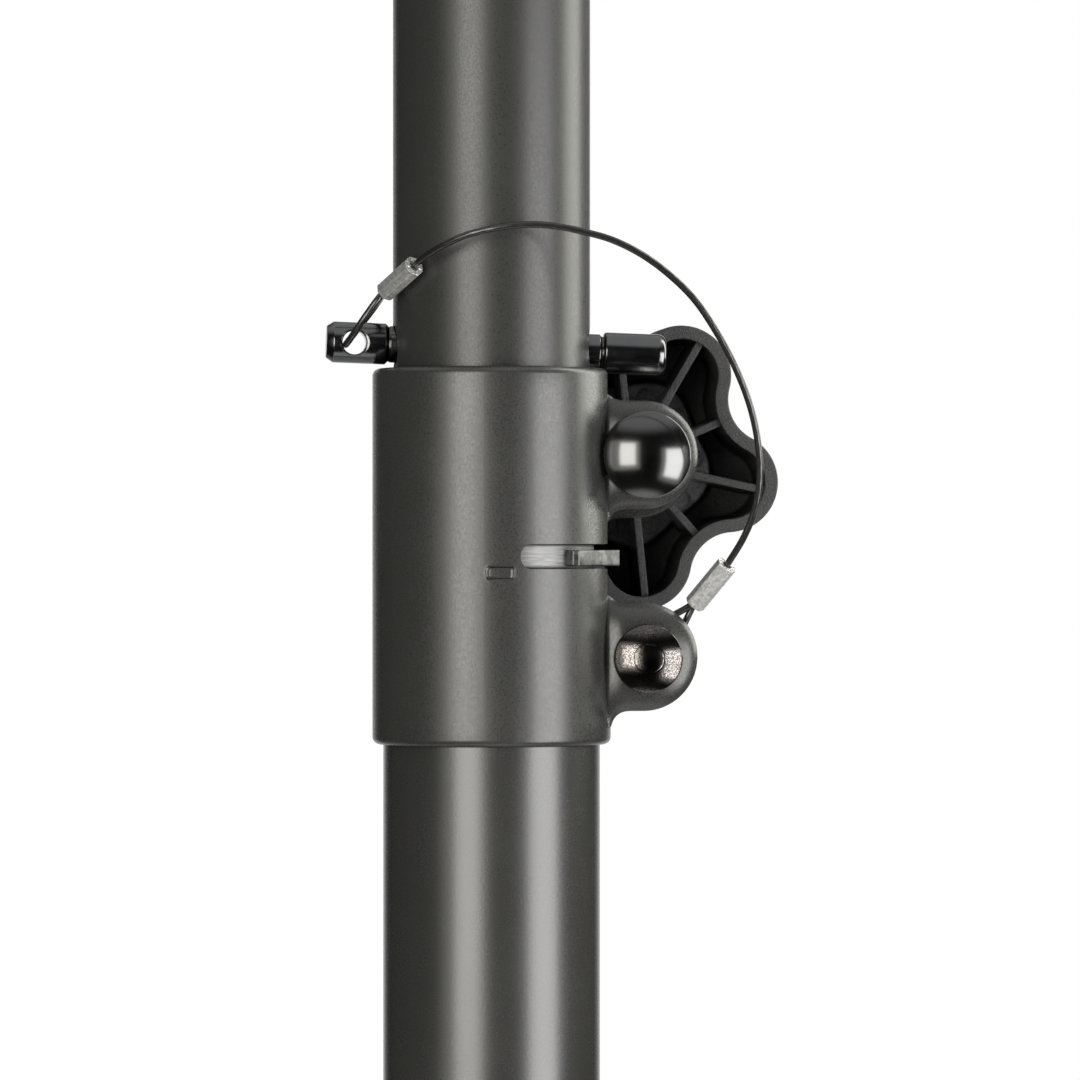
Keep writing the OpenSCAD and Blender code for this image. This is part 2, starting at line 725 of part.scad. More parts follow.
base_tube();
clamp_collar();
clamp_band();
guide_bush();
clamp_bolt();
clamp_washer();
collar_rivet();
bottom_hub();
hub_screws();
hub_pivot_bolts();
tube_end_plug();
mast_tube();
top_plug();
top_insert();
mast_bottom_plug();
lock_pin();
clamp_knob();
knob_insert();
brace(1);  // brace_1
brace(2);  // brace_2
brace(3);  // brace_3
leg_tube(1);  // leg_tube_1
leg_tube(2);  // leg_tube_2
leg_tube(3);  // leg_tube_3
leg_top(1);  // leg_top_1
leg_top(2);  // leg_top_2
leg_top(3);  // leg_top_3
foot(1);  // foot_1
foot(2);  // foot_2
foot(3);  // foot_3
leg_bolt(1);  // leg_bolt_1
leg_bolt(2);  // leg_bolt_2
leg_bolt(3);  // leg_bolt_3
leg_spider();
spider_bush();
spider_pivot_bolts();
spider_knob();
spider_screw();
pin_ferrule();
pin_loop();
rivet_ferrule();
rivet_loop();
lanyard_upper();
lanyard_lower();
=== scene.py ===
"""Looks of the lighting stand's column, clamp collar, lock pin, knob and tripod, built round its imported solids."""

import json
import math

import bmesh
import bpy
import numpy as np
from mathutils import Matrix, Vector

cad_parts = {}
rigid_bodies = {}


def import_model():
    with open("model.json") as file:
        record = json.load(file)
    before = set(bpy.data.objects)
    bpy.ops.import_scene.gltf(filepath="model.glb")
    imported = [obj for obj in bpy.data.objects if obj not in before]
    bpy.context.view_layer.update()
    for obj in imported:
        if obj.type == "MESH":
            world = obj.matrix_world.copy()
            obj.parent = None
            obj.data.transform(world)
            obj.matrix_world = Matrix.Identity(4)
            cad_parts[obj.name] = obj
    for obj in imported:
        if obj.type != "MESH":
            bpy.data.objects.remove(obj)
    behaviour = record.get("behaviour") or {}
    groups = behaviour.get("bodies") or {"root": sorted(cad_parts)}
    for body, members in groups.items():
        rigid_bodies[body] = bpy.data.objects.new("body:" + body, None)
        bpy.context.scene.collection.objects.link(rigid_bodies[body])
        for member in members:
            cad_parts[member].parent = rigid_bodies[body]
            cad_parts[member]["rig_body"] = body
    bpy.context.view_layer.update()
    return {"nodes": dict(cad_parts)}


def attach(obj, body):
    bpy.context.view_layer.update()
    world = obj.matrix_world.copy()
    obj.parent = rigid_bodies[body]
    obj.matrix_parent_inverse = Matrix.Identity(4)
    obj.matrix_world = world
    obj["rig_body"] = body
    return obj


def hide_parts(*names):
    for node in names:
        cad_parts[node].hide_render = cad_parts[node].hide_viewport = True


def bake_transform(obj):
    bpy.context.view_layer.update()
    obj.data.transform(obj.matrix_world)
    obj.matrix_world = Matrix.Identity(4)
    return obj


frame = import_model()
NODES = frame["nodes"]

# Lengths below are in millimetres, in the row frame, and become metres in a mesh
MM = 0.001
COLLAR_TOP = 1000.0
COLLAR_R, COLLAR_BORE = 21.15, 19.3
COLLAR_H, EDGE_R, LIP_R, LIP_T = 66.6, 1.3, 18.2, 1.5
SLOT_Z, SLOT_HALF, SLOT_START = -33.3, 2.2, 9.6
EAR_X, EAR_FRONT, EAR_BACK = 26.5, 9.0, 6.8
BOLT_Z, RIVET_Z, SPLIT_LOW = -16.1, -51.4, -62.35
# Ears: height, radius, reach of the upper and of the lower flare, side (-1 front, 1 back)
EARS = ((BOLT_Z + 0.75, 9.6, 0.8, 1.2, -1), (BOLT_Z - 0.4, 9.95, 0.8, 1.2, 1),
        (RIVET_Z + 0.35, 9.6, 1.0, 2.8, -1), (RIVET_Z + 0.35, 9.6, 1.0, 2.8, 1))
DOME_R, DOME_CURVE, DOME_TOP = 7.75, 12.2, 14.0
RIVET_R, RIVET_CURVE, RIVET_TOP = 6.1, 11.3, 12.1
MARK_Z, MARK_LONG, MARK_HIGH = -36.15, 2.2, 1.0
LOBE_POS, LOBE_R, VALLEY_POS, VALLEY_R, LOBE_TURN = 18.0, 9.1, 28.0, 8.0, 59.8
KNOB_RIM_Y, KNOB_DEPTH, KNOB_FACE, RIM_WALL, KNOB_PLAY = 21.6, 18.0, 3.0, 2.4, 0.6
KNOB_BACK = KNOB_RIM_Y + KNOB_DEPTH
KNOB_FLOOR = KNOB_BACK - KNOB_FACE
FIELD_R, FIELD_HIGH, FIELD_BORE = 15.0, 5.0, 7.2
EJECTOR_R, EJECTOR_TURNS = 12.2, (19, 57, 95, 131, 168, 203, 240, 275, 312, 347)
PIN_R, PIN_TILT, PIN_RISE, PIN_LEFT, PIN_RIGHT = 3.65, 2.15, 3.64, 29.4, 31.0
EYE_X, EYE_R, EYE_LONG, EYE_HIGH = -24.5, 2.12, 2.7, 2.35
WIRE_R, FERRULE_R = 0.6, 1.85
LEG_ANGLE, LEG_LEN, FOOT_R, FOOT_LEN, LEG_R, PIVOT_R = 52.0, 680.0, 14.0, 46.0, 11.0, 40.0
SPIDER_Z = FOOT_R - 0.5 + LEG_LEN * math.cos(math.radians(LEG_ANGLE))
SPIDER_KNOB_Y, SPIDER_KNOB_UP, SPIDER_KNOB_R = 37.0, 34.0, 19.0

# ---------------------------------------------------------------- camera

LENS, SENSOR = 206.5, 36.0
CAMERA_AWAY, CAMERA_RIGHT, CAMERA_HIGH = 1.1, 0.0086, 0.9696
VIEW_TURN = math.radians(4.6)
RIGHT = np.array([math.cos(VIEW_TURN), -math.sin(VIEW_TURN), 0.0])
AWAY = np.array([math.sin(VIEW_TURN), math.cos(VIEW_TURN), 0.0])


def placed(name, data):
    """A new object of the scene."""
    obj = bpy.data.objects.new(name, data)
    bpy.context.scene.collection.objects.link(obj)
    return obj


def photo_camera():
    """A long lens at the collar's height that looks level along AWAY."""
    data = bpy.data.cameras.new("photo_camera")
    data.lens = LENS
    data.sensor_width = SENSOR
    data.clip_end = 200.0
    camera = placed("photo_camera", data)
    camera.location = Vector(RIGHT * CAMERA_RIGHT - AWAY * CAMERA_AWAY + np.array([0, 0, CAMERA_HIGH]))
    camera.rotation_euler = (math.pi / 2, 0, -VIEW_TURN)
    bpy.context.scene.camera = camera


photo_camera()

# ---------------------------------------------------------------- shaders


class Value:
    """A socket's output in a shader. + - * / and ** add Math nodes, also with a number on the left."""

    def __init__(self, finish, socket):
        self.finish = finish
        self.socket = socket

    def __add__(self, other):
        return self.finish.math("ADD", self, other)

    def __sub__(self, other):
        return self.finish.math("SUBTRACT", self, other)

    def __rsub__(self, other):
        return self.finish.math("SUBTRACT", other, self)

    def __mul__(self, other):
        return self.finish.math("MULTIPLY", self, other)

    def __truediv__(self, other):
        return self.finish.math("DIVIDE", self, other)

    def __rtruediv__(self, other):
        return self.finish.math("DIVIDE", other, self)

    def __pow__(self, other):
        return self.finish.math("POWER", self, other)

    def __neg__(self):
        return self.finish.math("MULTIPLY", self, -1.0)

    __radd__ = __add__
    __rmul__ = __mul__


class Finish:
    """One procedural material, with the one method that adds any node to it."""

    def __init__(self, name, tree_owner=None):
        self.material = tree_owner or bpy.data.materials.new(name)
        self.material.use_nodes = True
        self.tree = self.material.node_tree
        self.tree.nodes.clear()

    def node(self, kind, settings=None, sockets=None, output=0):
        """A node of that kind: its settings first, then values or links of its sockets."""
        made = self.tree.nodes.new(kind)
        for key, value in (settings or {}).items():
            setattr(made, key, value)
        for key, value in (sockets or {}).items():
            if isinstance(value, Value):
                self.tree.links.new(value.socket, made.inputs[key])
            else:
                made.inputs[key].default_value = value
        return Value(self, made.outputs[output]) if len(made.outputs) else None

    def math(self, operation, a, b=0.0, clamp=False):
        return self.node("ShaderNodeMath", {"operation": operation, "use_clamp": clamp}, {0: a, 1: b})

    def clip(self, value):
        return self.math("ADD", value, 0.0, clamp=True)

    def vector(self, operation, a, b, output=0):
        return self.node("ShaderNodeVectorMath", {"operation": operation}, {0: a, 1: b}, output)

    def place(self, scale=(1.0, 1.0, 1.0), turn=(0.0, 0.0, 0.0)):
        """Object coordinates in millimetres, stretched and turned."""
        at = self.node("ShaderNodeTexCoord", output="Object")
        return self.node("ShaderNodeMapping", {"vector_type": "POINT"},
                         {"Vector": at, "Scale": tuple(1000.0 * s for s in scale), "Rotation": turn})

    def parts(self, vector):
        """The three numbers of a vector."""
        split = self.node("ShaderNodeSeparateXYZ", {}, {0: vector})
        return [Value(self, out) for out in split.socket.node.outputs]

    def ray(self, kind):
        """1 for that kind of ray and 0 for all others."""
        return self.node("ShaderNodeLightPath", output=f"Is {kind} Ray")

    def noise(self, size, detail=2.0, rough=0.5, at=None, warp=0.0):
        """Noise from 0 to 1 whose blobs are about size millimetres across."""
        at = at or self.place()
        return self.node("ShaderNodeTexNoise", {}, {"Vector": at, "Scale": 1.0 / size, "Detail": detail,
                                                    "Roughness": rough, "Distortion": warp})

    def cells(self, size, output="Distance"):
        """Distance to the nearest of scattered points about size millimetres apart, or that point's own colour."""
        return self.node("ShaderNodeTexVoronoi", {}, {"Vector": self.place(), "Scale": 1.0 / size}, output)

    def step(self, value, low, high):
        """0 below low, 1 above high, smooth between."""
        return self.node("ShaderNodeMapRange", {"interpolation_type": "SMOOTHSTEP"},
                         {"Value": value, "From Min": low, "From Max": high})

    def blend(self, factor, a, b):
        """Colour a where factor is 0 and b where it is 1."""
        a, b = (colour if isinstance(colour, Value) else (*colour, 1.0) for colour in (a, b))
        return self.node("ShaderNodeMix", {"data_type": "RGBA"}, {0: factor, 6: a, 7: b}, 2)

    def surface(self, colour, roughness, metallic=0.0, height=None, depth=0.02, **constants):
        """The Principled surface. height is 0 to 1 and depth its relief in millimetres; constants stay on their
        sockets."""
        sockets = {"Base Color": colour if isinstance(colour, Value) else (*colour, 1.0),
                   "Roughness": roughness, "Metallic": metallic}
        if height is not None:
            sockets["Normal"] = self.node("ShaderNodeBump", {}, {"Strength": 1.0, "Distance": depth * MM,
                                                                 "Height": height})
        sockets.update({key.replace("_", " "): value for key, value in constants.items()})
        shader = self.node("ShaderNodeBsdfPrincipled", {}, sockets)
        self.node("ShaderNodeOutputMaterial", {}, {"Surface": shader})
        return self.material


def shade(tone, share):
    """A tone made darker or lighter by a share."""
    return tuple(share * part for part in tone)


def powder_coat(name, tone, roughness, grain, relief, level, wear=0.0, speckle=0.0, painted_shade=0.0):
    """Satin powder coat: pebbled grain, faint clouding of tone and gloss, rare fine rubs, and on the collar painted
    shade that darkens the groove of its mark."""
    f = Finish(name)
    pebble = f.noise(grain, 3.0, 0.6)
    fleck = f.cells(grain * 1.4)
    grit = (f.step(f.noise(0.34, 3.0, 0.7), 0.3, 0.7) - 0.5) * speckle
    cloud = f.noise(14.0, 3.0, 0.55)
    rub = f.step(f.noise(3.2, 4.0, 0.6, at=f.place((1.0, 1.0, 0.12))), 0.66, 0.78)
    colour = f.blend(f.clip(pebble * 0.5 + cloud * 0.5 + grit * 0.12), shade(tone, 0.78), shade(tone, 1.25))
    colour = f.blend(rub * wear, colour, (0.12, 0.12, 0.12))
    if painted_shade:
        # Painted shade: the groove round the collar's mark is darkened, on the collar's front only.
        along, deep, up = f.parts(f.place())
        wide = f.math("ABSOLUTE", along) - MARK_LONG
        high = f.math("ABSOLUTE", up - (COLLAR_TOP + MARK_Z)) - MARK_HIGH
        off = f.math("ABSOLUTE", f.math("MAXIMUM", wide, high))
        dust_and_shade = (1.0 - f.step(off, 0.06, 0.26)) * f.step(-deep, 5.0, 10.0)
        colour = f.blend(dust_and_shade * painted_shade, colour, (0.006, 0.006, 0.006))
    gloss = roughness - 0.05 + cloud * 0.05 + pebble * 0.05 + grit * 0.2 - rub * (0.05 * wear)
    return f.surface(colour, gloss, height=pebble * 0.6 + fleck * 0.4, depth=relief, Specular_IOR_Level=level)


def strip_steel():
    """Bright strip, brushed round the column: lines much longer than they are high, with painted shade at the
    slot's edges and where the collar covers it.
    """
    f = Finish("brushed_strip_steel")
    lines = f.noise(0.16, 4.0, 0.6, at=f.place((0.05, 0.05, 1.0)))
    broad = f.noise(2.4, 2.0, 0.5)
    colour = f.blend(f.step(lines, 0.3, 0.7), (0.13, 0.13, 0.13), (0.26, 0.26, 0.26))
    up = f.parts(f.place())[2]
    # Painted shade: the strip is darkened at the slot's top and bottom edges and where the collar covers it.
    painted_shade = f.step(f.math("ABSOLUTE", up - (COLLAR_TOP + SLOT_Z)), 1.5, 2.15)
    colour = f.blend(painted_shade * 0.92, colour, (0.012, 0.012, 0.012))
    return f.surface(colour, 0.30 + lines * 0.18 + broad * 0.1, 1.0, lines, 0.012)


def scuffed_tab():
    """The sheared and bent end of the strip: duller, blotched by handling, with burnished spots."""
    f = Finish("scuffed_strip_end")
    blotch = f.noise(1.8, 4.0, 0.6)
    fine = f.noise(0.18, 3.0, 0.6)
    colour = f.blend(f.step(blotch, 0.38, 0.62), (0.08, 0.08, 0.08), (0.19, 0.19, 0.19))
    return f.surface(colour, 0.30 + blotch * 0.2, 1.0, blotch * 0.6 + fine * 0.4, 0.03)


def gloss_black():
    """Polished black plating: nearly a mirror, with a faint haze and a few hairline rubs."""
    f = Finish("polished_black_plate")
    haze = f.noise(2.2, 3.0, 0.6)
    hair = f.step(f.noise(0.5, 2.0, 0.5, at=f.place((1.0, 1.0, 0.08), (0.3, 0.9, 0.2))), 0.62, 0.72)
    colour = f.blend(haze, (0.010, 0.010, 0.010), (0.018, 0.018, 0.0175))
    return f.surface(colour, 0.20 + haze * 0.08 + hair * 0.05, 1.0, Coat_Weight=1.0, Coat_Roughness=0.15, Coat_IOR=2.1)


def black_oxide():
    """Oiled black oxide on turned steel: fine rings round the pin, warmer where it is handled."""
    f = Finish("oiled_black_oxide")
    rings = f.noise(0.14, 2.0, 0.5, at=f.place((1.0, 0.04, 0.04)))
    smear = f.noise(3.4, 3.0, 0.6)
    colour = f.blend(smear, (0.13, 0.135, 0.145), (0.19, 0.19, 0.185))
    return f.surface(colour, 0.11 + smear * 0.1 + rings * 0.04, 1.0, rings * 0.8 + smear * 0.2, 0.012)


def worn_nickel():
    """Black nickel worn to speckles: pale warm metal with dark pits, darker where it was struck flat."""
    f = Finish("worn_black_nickel")
    pits = f.step(f.noise(0.22, 4.0, 0.8), 0.38, 0.62)
    patches = f.noise(2.6, 3.0, 0.6)
    dark = f.step(pits * 0.7 + patches * 0.5, 0.48, 0.68)
    colour = f.blend(dark, (0.21, 0.192, 0.182), (0.045, 0.041, 0.04))
    return f.surface(colour, 0.10 + dark * 0.06, 1.0, pits, 0.002)


def moulded_nylon(name, tone, roughness, grain, relief, inside=False):
    """Glass-filled nylon: spark-eroded grain and slight mottling. Inside the clamp knob also flow swirls, and painted
    shade: a darker tone round its raised field and below that."""
    f = Finish(name)
    grainy = f.step(f.noise(grain, 3.0, 0.65), 0.36, 0.64)
    mottle = f.noise(5.5, 3.0, 0.6, warp=2.0 if inside else 0.0)
    colour = f.blend(f.clip(grainy * 0.5 + mottle * 0.5), shade(tone, 0.55), shade(tone, 1.5))
    gloss = roughness - 0.07 + mottle * 0.07 + grainy * 0.07
    if inside:
        x, depth, z = f.parts(f.place())
        x, z = x - EAR_X, z - (COLLAR_TOP + BOLT_Z)
        field = KNOB_FLOOR - FIELD_HIGH
        # Painted shade: the pockets round the raised field and the floor below its level are darkened in colour.
        low = f.step(x * x + z * z, 240.0, 265.0) + f.step(depth, field + 0.4, field + 1.4)
        colour = f.blend(f.clip(low), colour, shade(tone, 0.22))
        gloss = gloss + f.noise(1.6, 3.0, 0.6, at=f.place((1.0, 0.3, 1.0)), warp=3.0) * 0.12
    return f.surface(colour, gloss, height=grainy, depth=relief)


def zinc_plate(name, tone, roughness):
    """Zinc plated fasteners: soft crystalline patches, small stains and fine turning."""
    f = Finish(name)
    patches = f.cells(1.1, "Color")
    stain = f.step(f.noise(4.0, 3.0, 0.6), 0.55, 0.75)
    fine = f.noise(0.2, 2.0, 0.5)
    grey = f.vector("DOT_PRODUCT", patches, (0.33, 0.33, 0.33), "Value")
    colour = f.blend(grey, shade(tone, 0.85), tone)
    colour = f.blend(stain * 0.4, colour, shade(tone, 0.55))
    return f.surface(colour, roughness + stain * 0.12 + fine * 0.08, 1.0, fine, 0.006)


def brass():
    """Turned brass insert with rings and light tarnish."""
    f = Finish("turned_brass")
    rings = f.noise(0.2, 2.0, 0.5, at=f.place((0.05, 1.0, 0.05)))
    tarnish = f.noise(3.0, 3.0, 0.6)
    colour = f.blend(tarnish, (0.72, 0.55, 0.26), (0.42, 0.3, 0.14))
    return f.surface(colour, 0.25 + tarnish * 0.2, 1.0, rings, 0.01)


def rubber():
    """Matt black rubber: dull bloom, dust toward the floor and tiny pores."""
    f = Finish("matt_rubber")
    pores = f.cells(0.5)
    bloom = f.noise(9.0, 4.0, 0.6)
    height = f.parts(f.place())[2]
    dust_and_shade = f.clip((1.0 - f.step(height, 2.0, 30.0)) * f.step(f.noise(2.5, 4.0, 0.65), 0.35, 0.7))
    colour = f.blend(bloom, (0.012, 0.012, 0.012), (0.026, 0.026, 0.027))
    colour = f.blend(dust_and_shade * 0.5, colour, (0.14, 0.135, 0.125))
    return f.surface(colour, 0.66 + bloom * 0.12 + dust_and_shade * 0.1, height=pores, depth=0.05)


def crimped_aluminium():
    """Soft aluminium squeezed by ridged dies: scuffed, with fine drawn lines."""
    f = Finish("crimped_aluminium")
    scuff = f.noise(0.7, 4.0, 0.7)
    fine = f.noise(0.12, 3.0, 0.6)
    colour = f.blend(f.step(scuff, 0.35, 0.65), (0.46, 0.46, 0.45), (0.74, 0.74, 0.72))
    return f.surface(colour, 0.27 + scuff * 0.2 + fine * 0.06, 0.7, scuff * 0.7 + fine * 0.3, 0.05)


def coated_wire():
    """Thin black jacket over a stranded rope: the strands show through as a shallow helix."""
    f = Finish("jacketed_wire")
    along = f.node("ShaderNodeAttribute", {"attribute_name": "wrap"}, output="Vector")
    cosine, sine, length = f.parts(along)
    turn = f.math("ARCTAN2", sine, cosine)
    strand = f.math("SINE", turn * 6.0 + length * 2.4)
    scuff = f.noise(0.5, 3.0, 0.6)
    colour = f.blend(scuff, (0.010, 0.010, 0.0095), (0.022, 0.021, 0.020))
    return f.surface(colour, 0.17 + scuff * 0.12, height=f.clip(strand * 0.25 + 0.5), Specular_IOR_Level=0.9)


ANTHRACITE = (0.033, 0.033, 0.0305)
MAST_COAT = powder_coat("mast_satin_coat", ANTHRACITE, 0.33, 0.32, 0.012, 0.62, 0.02, speckle=0.7)
BASE_COAT = powder_coat("base_satin_coat", ANTHRACITE, 0.27, 0.3, 0.010, 0.95, 0.02)
LEG_COAT = powder_coat("leg_satin_coat", ANTHRACITE, 0.36, 0.32, 0.012, 0.9, 0.06)
# The collar's coat carries painted shade in the groove of its mark.
COLLAR_COAT = powder_coat("collar_satin_coat", (0.034, 0.034, 0.0315), 0.31, 0.16, 0.012, 0.78, speckle=0.9,
                          painted_shade=0.9)
CASTING_COAT = powder_coat("casting_coat", (0.026, 0.026, 0.028), 0.45, 0.7, 0.06, 0.8, 0.2)
BRACE_COAT = powder_coat("brace_satin_coat", (0.034, 0.034, 0.036), 0.40, 0.4, 0.02, 0.9, 0.2)
BAND_STEEL = strip_steel()
TAB_STEEL = scuffed_tab()
GLOSS_BLACK = gloss_black()
BLACK_OXIDE = black_oxide()
BLACK_NICKEL = worn_nickel()
RIM_NYLON = moulded_nylon("knob_grained_nylon", (0.052, 0.052, 0.053), 0.48, 0.36, 0.08)
# A lighter copy of the knob's own nylon: the raised tone is painted light on the cup's floor and field, and its pockets
# get painted shade.
INNER_NYLON_PAINTED_SHADING = moulded_nylon("knob_inner_nylon_painted_shading", (0.13, 0.13, 0.135), 0.36, 0.5, 0.05, inside=True)
BLACK_NYLON = moulded_nylon("black_bush_nylon", (0.02, 0.02, 0.022), 0.45, 0.3, 0.02)
ZINC = zinc_plate("zinc_plate", (0.62, 0.63, 0.64), 0.28)
TURNED = zinc_plate("turned_steel", (0.66, 0.66, 0.66), 0.22)
BRASS = brass()
RUBBER = rubber()
ALUMINIUM = crimped_aluminium()
WIRE_COAT = coated_wire()

NODE_FINISH = {
    "base_tube": BASE_COAT, "clamp_collar": COLLAR_COAT, "clamp_band": BAND_STEEL, "guide_bush": BLACK_NYLON,
    "clamp_bolt": GLOSS_BLACK, "clamp_washer": BLACK_OXIDE, "collar_rivet": BLACK_NICKEL,
    "bottom_hub": CASTING_COAT, "hub_screws": ZINC, "hub_pivot_bolts": ZINC, "tube_end_plug": BLACK_NYLON,
    "mast_tube": MAST_COAT, "top_plug": BLACK_NYLON, "top_insert": TURNED, "mast_bottom_plug": BLACK_NYLON,
    "lock_pin": BLACK_OXIDE, "clamp_knob": RIM_NYLON, "knob_insert": BRASS, "leg_spider": CASTING_COAT,
    "spider_bush": BLACK_NYLON, "spider_pivot_bolts": ZINC, "spider_knob": RIM_NYLON, "spider_screw": ZINC,
    "pin_ferrule": ALUMINIUM, "rivet_ferrule": ALUMINIUM, "pin_loop": WIRE_COAT, "rivet_loop": WIRE_COAT,
    "lanyard_upper": WIRE_COAT, "lanyard_lower": WIRE_COAT,
}
for leg in (1, 2, 3):
    NODE_FINISH.update({f"brace_{leg}": BRACE_COAT, f"leg_tube_{leg}": LEG_COAT, f"leg_top_{leg}": BLACK_NYLON,
                        f"foot_{leg}": RUBBER, f"leg_bolt_{leg}": ZINC})
for node_name, finish in NODE_FINISH.items():
    slots = NODES[node_name].material_slots
    if len(slots) == 0:
        NODES[node_name].data.materials.append(finish)
    for material_slot in slots:
        material_slot.material = finish

# ---------------------------------------------------------------- surfaces from numpy


def bell(value, middle, width):
    """1 at middle and less on both sides: exp of minus the square of the distance over width."""
    return np.exp(-(((value - middle) / width) ** 2))


def within(value, edge, width):
    """1 below edge and 0 above it: 1 over 1 plus exp of the distance over width."""
    return 1 / (1 + np.exp((value - edge) / width))


def ramp(value, edge, width):
    """How far value is below edge, with a soft start: width times the logarithm of 1 plus exp of that over width."""
    return width * np.log1p(np.exp(np.clip((edge - value) / width, -30, 30)))


def polar(radius, angle, height):
    """Points by their distance from the vertical axis, angle round it and height."""
    return np.stack(np.broadcast_arrays(radius * np.cos(angle), radius * np.sin(angle), height), -1)


def path_length(path):
    """Length along a path up to each of its points."""
    return np.concatenate([[0], np.cumsum(np.linalg.norm(np.diff(path, axis=0), axis=1))])


def resampled(path, count, endpoint=True):
    """That many points at even steps along a flat path."""
    length = path_length(path)
    at = np.linspace(0, length[-1], count, endpoint=endpoint)
    return np.column_stack([np.interp(at, length, path[:, i]) for i in (0, 1)])


def tangents(path):
    """Unit vectors along a path, one at each of its points."""
    along = np.gradient(path, axis=0)
    return along / np.linalg.norm(along, axis=1, keepdims=True)


def grid(rows, cols, flip=False):
    """Quads of a grid of points numbered row by row, its last column joined to the first."""
    r = np.arange(rows - 1)[:, None] * cols
    c = np.arange(cols)[None, :]
    d = (c + 1) % cols
    quads = np.stack([r + c, r + d, r + cols + d, r + cols + c], -1).reshape(-1, 4)
    return quads[:, ::-1] if flip else quads


def weld(points, quads):
    """Points at one place become one point, and quads that lose a side by it become triangles. Also gives the index
    of each kept point."""
    _, first, where = np.unique(np.round(points, 4), axis=0, return_index=True, return_inverse=True)
    quads = where.reshape(-1)[quads]
    apart = quads != np.roll(quads, -1, axis=1)
    count = apart.sum(1)
    three = count == 3
    return points[first], quads[count == 4].tolist(), quads[three][apart[three]].reshape(-1, 3).tolist(), first


def piece(name, body, shells, replaces, crease, wrap=None):
    """One object from closed shells (points in mm, quads, finish), riding on a body and standing for CAD nodes.
    wrap is a list with one array a shell, kept as the point attribute that the wire's helix reads."""
    points, faces, finishes, finish_of, wraps = [], [], [], [], []
    start = 0
    for index, (shell_points, quads, finish) in enumerate(shells):
        kept, fours, threes, first = weld(np.asarray(shell_points, float), quads)
        points.append(kept)
        made = [[start + i for i in face] for face in fours + threes]
        faces += made
        if finish not in finishes:
            finishes.append(finish)
        finish_of += [finishes.index(finish)] * len(made)
        if wrap is not None:
            wraps.append(wrap[index][first])
        start += len(kept)
    mesh = bpy.data.meshes.new(name)
    mesh.from_pydata((np.concatenate(points) * MM).tolist(), [], faces)
    for finish in finishes:
        mesh.materials.append(finish)
    mesh.polygons.foreach_set("material_index", np.array(finish_of, np.int32))
    mesh.polygons.foreach_set("use_smooth", np.ones(len(faces), bool))
    if wrap is not None:
        mesh.attributes.new("wrap", "FLOAT_VECTOR", "POINT").data.foreach_set("vector", np.concatenate(wraps).ravel())
    mesh.update()
    mesh.set_sharp_from_angle(angle=math.radians(crease))
    obj = placed(name, mesh)
    if body:
        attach(obj, body)
    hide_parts(*replaces)
    return obj


def rounded_edges(obj, width, segments, angle, harden):
    """Rounds an object's edges that are sharper than angle in degrees; width is in millimetres."""
    easing = obj.modifiers.new("easing", "BEVEL")
    easing.width = width * MM
    easing.segments = segments
    easing.limit_method = "ANGLE"
    easing.angle_limit = math.radians(angle)
    easing.harden_normals = harden


def softened_path(corners, steps):
    """A polyline through (a, b, cut) corners, each rounded by a parabola that starts and ends cut away from it."""
    corners = np.asarray(corners, float)
    out = [corners[:1, :2]]
    t = np.linspace(0.0, 1.0, steps)[:, None]
    for before, (a, b, cut), after in zip(corners[:-2], corners[1:-1], corners[2:]):
        corner = np.array([a, b])
        if cut <= 0:
            out.append(corner[None])
            continue
        back, on = before[:2] - corner, after[:2] - corner
        p = corner + back / np.linalg.norm(back) * min(cut, np.linalg.norm(back) * 0.5)
        q = corner + on / np.linalg.norm(on) * min(cut, np.linalg.norm(on) * 0.5)
        out.append(p * (1 - t) ** 2 + corner * 2 * t * (1 - t) + q * t**2)
    return np.concatenate(out + [corners[-1:, :2]])


def axes_for(direction):
    """Two unit vectors square to a direction and to each other."""
    w = np.asarray(direction, float) / np.linalg.norm(direction)
    helper = np.array([0.0, 0.0, 1.0]) if abs(w[2]) < 0.9 else np.array([1.0, 0.0, 0.0])
    u = np.cross(helper, w)
    u /= np.linalg.norm(u)
    return u, np.cross(w, u), w


def turned(profile, origin, direction, finish, sides, shaped=None):
    """A profile of (radius, height) turned round an axis; shaped, given (radius, height, angle), may change both."""
    profile = np.asarray(profile, float)
    u, v, w = axes_for(direction)
    angle = np.linspace(0, 2 * math.pi, sides, endpoint=False)[None, :]
    radius, height = profile[:, :1] + 0 * angle, profile[:, 1:] + 0 * angle
    if shaped:
        radius, height = shaped(radius, height, angle)
    ring = np.cos(angle)[..., None] * u + np.sin(angle)[..., None] * v
    points = np.asarray(origin, float) + radius[..., None] * ring + height[..., None] * w
    return points.reshape(-1, 3), grid(len(profile), sides), finish


def capped(rows, finish, flip=False):
    """Closed sections one after another, with both ends drawn together to their middles."""
    ends = [row.mean(0, keepdims=True) + 0 * row for row in (rows[0], rows[-1])]
    rows = np.concatenate([ends[0][None], rows, ends[1][None]])
    return rows.reshape(-1, 3), grid(len(rows), rows.shape[1], flip=flip), finish


def catmull(route, steps):
    """Catmull-Rom curve through a route's points, its ends held, with that many steps a span."""
    p = np.asarray(route, float)
    padded = np.concatenate([p[:1], p, p[-1:]])
    t = (np.arange(steps) / steps)[None, :, None]
    a, b, c, d = (padded[i : i + len(p) - 1][:, None] for i in range(4))
    spans = 0.5 * (2 * b + (c - a) * t + (2 * a - 5 * b + 4 * c - d) * t**2 + (3 * b - a - 3 * c + d) * t**3)
    return np.concatenate([spans.reshape(-1, 3), p[-1:]])


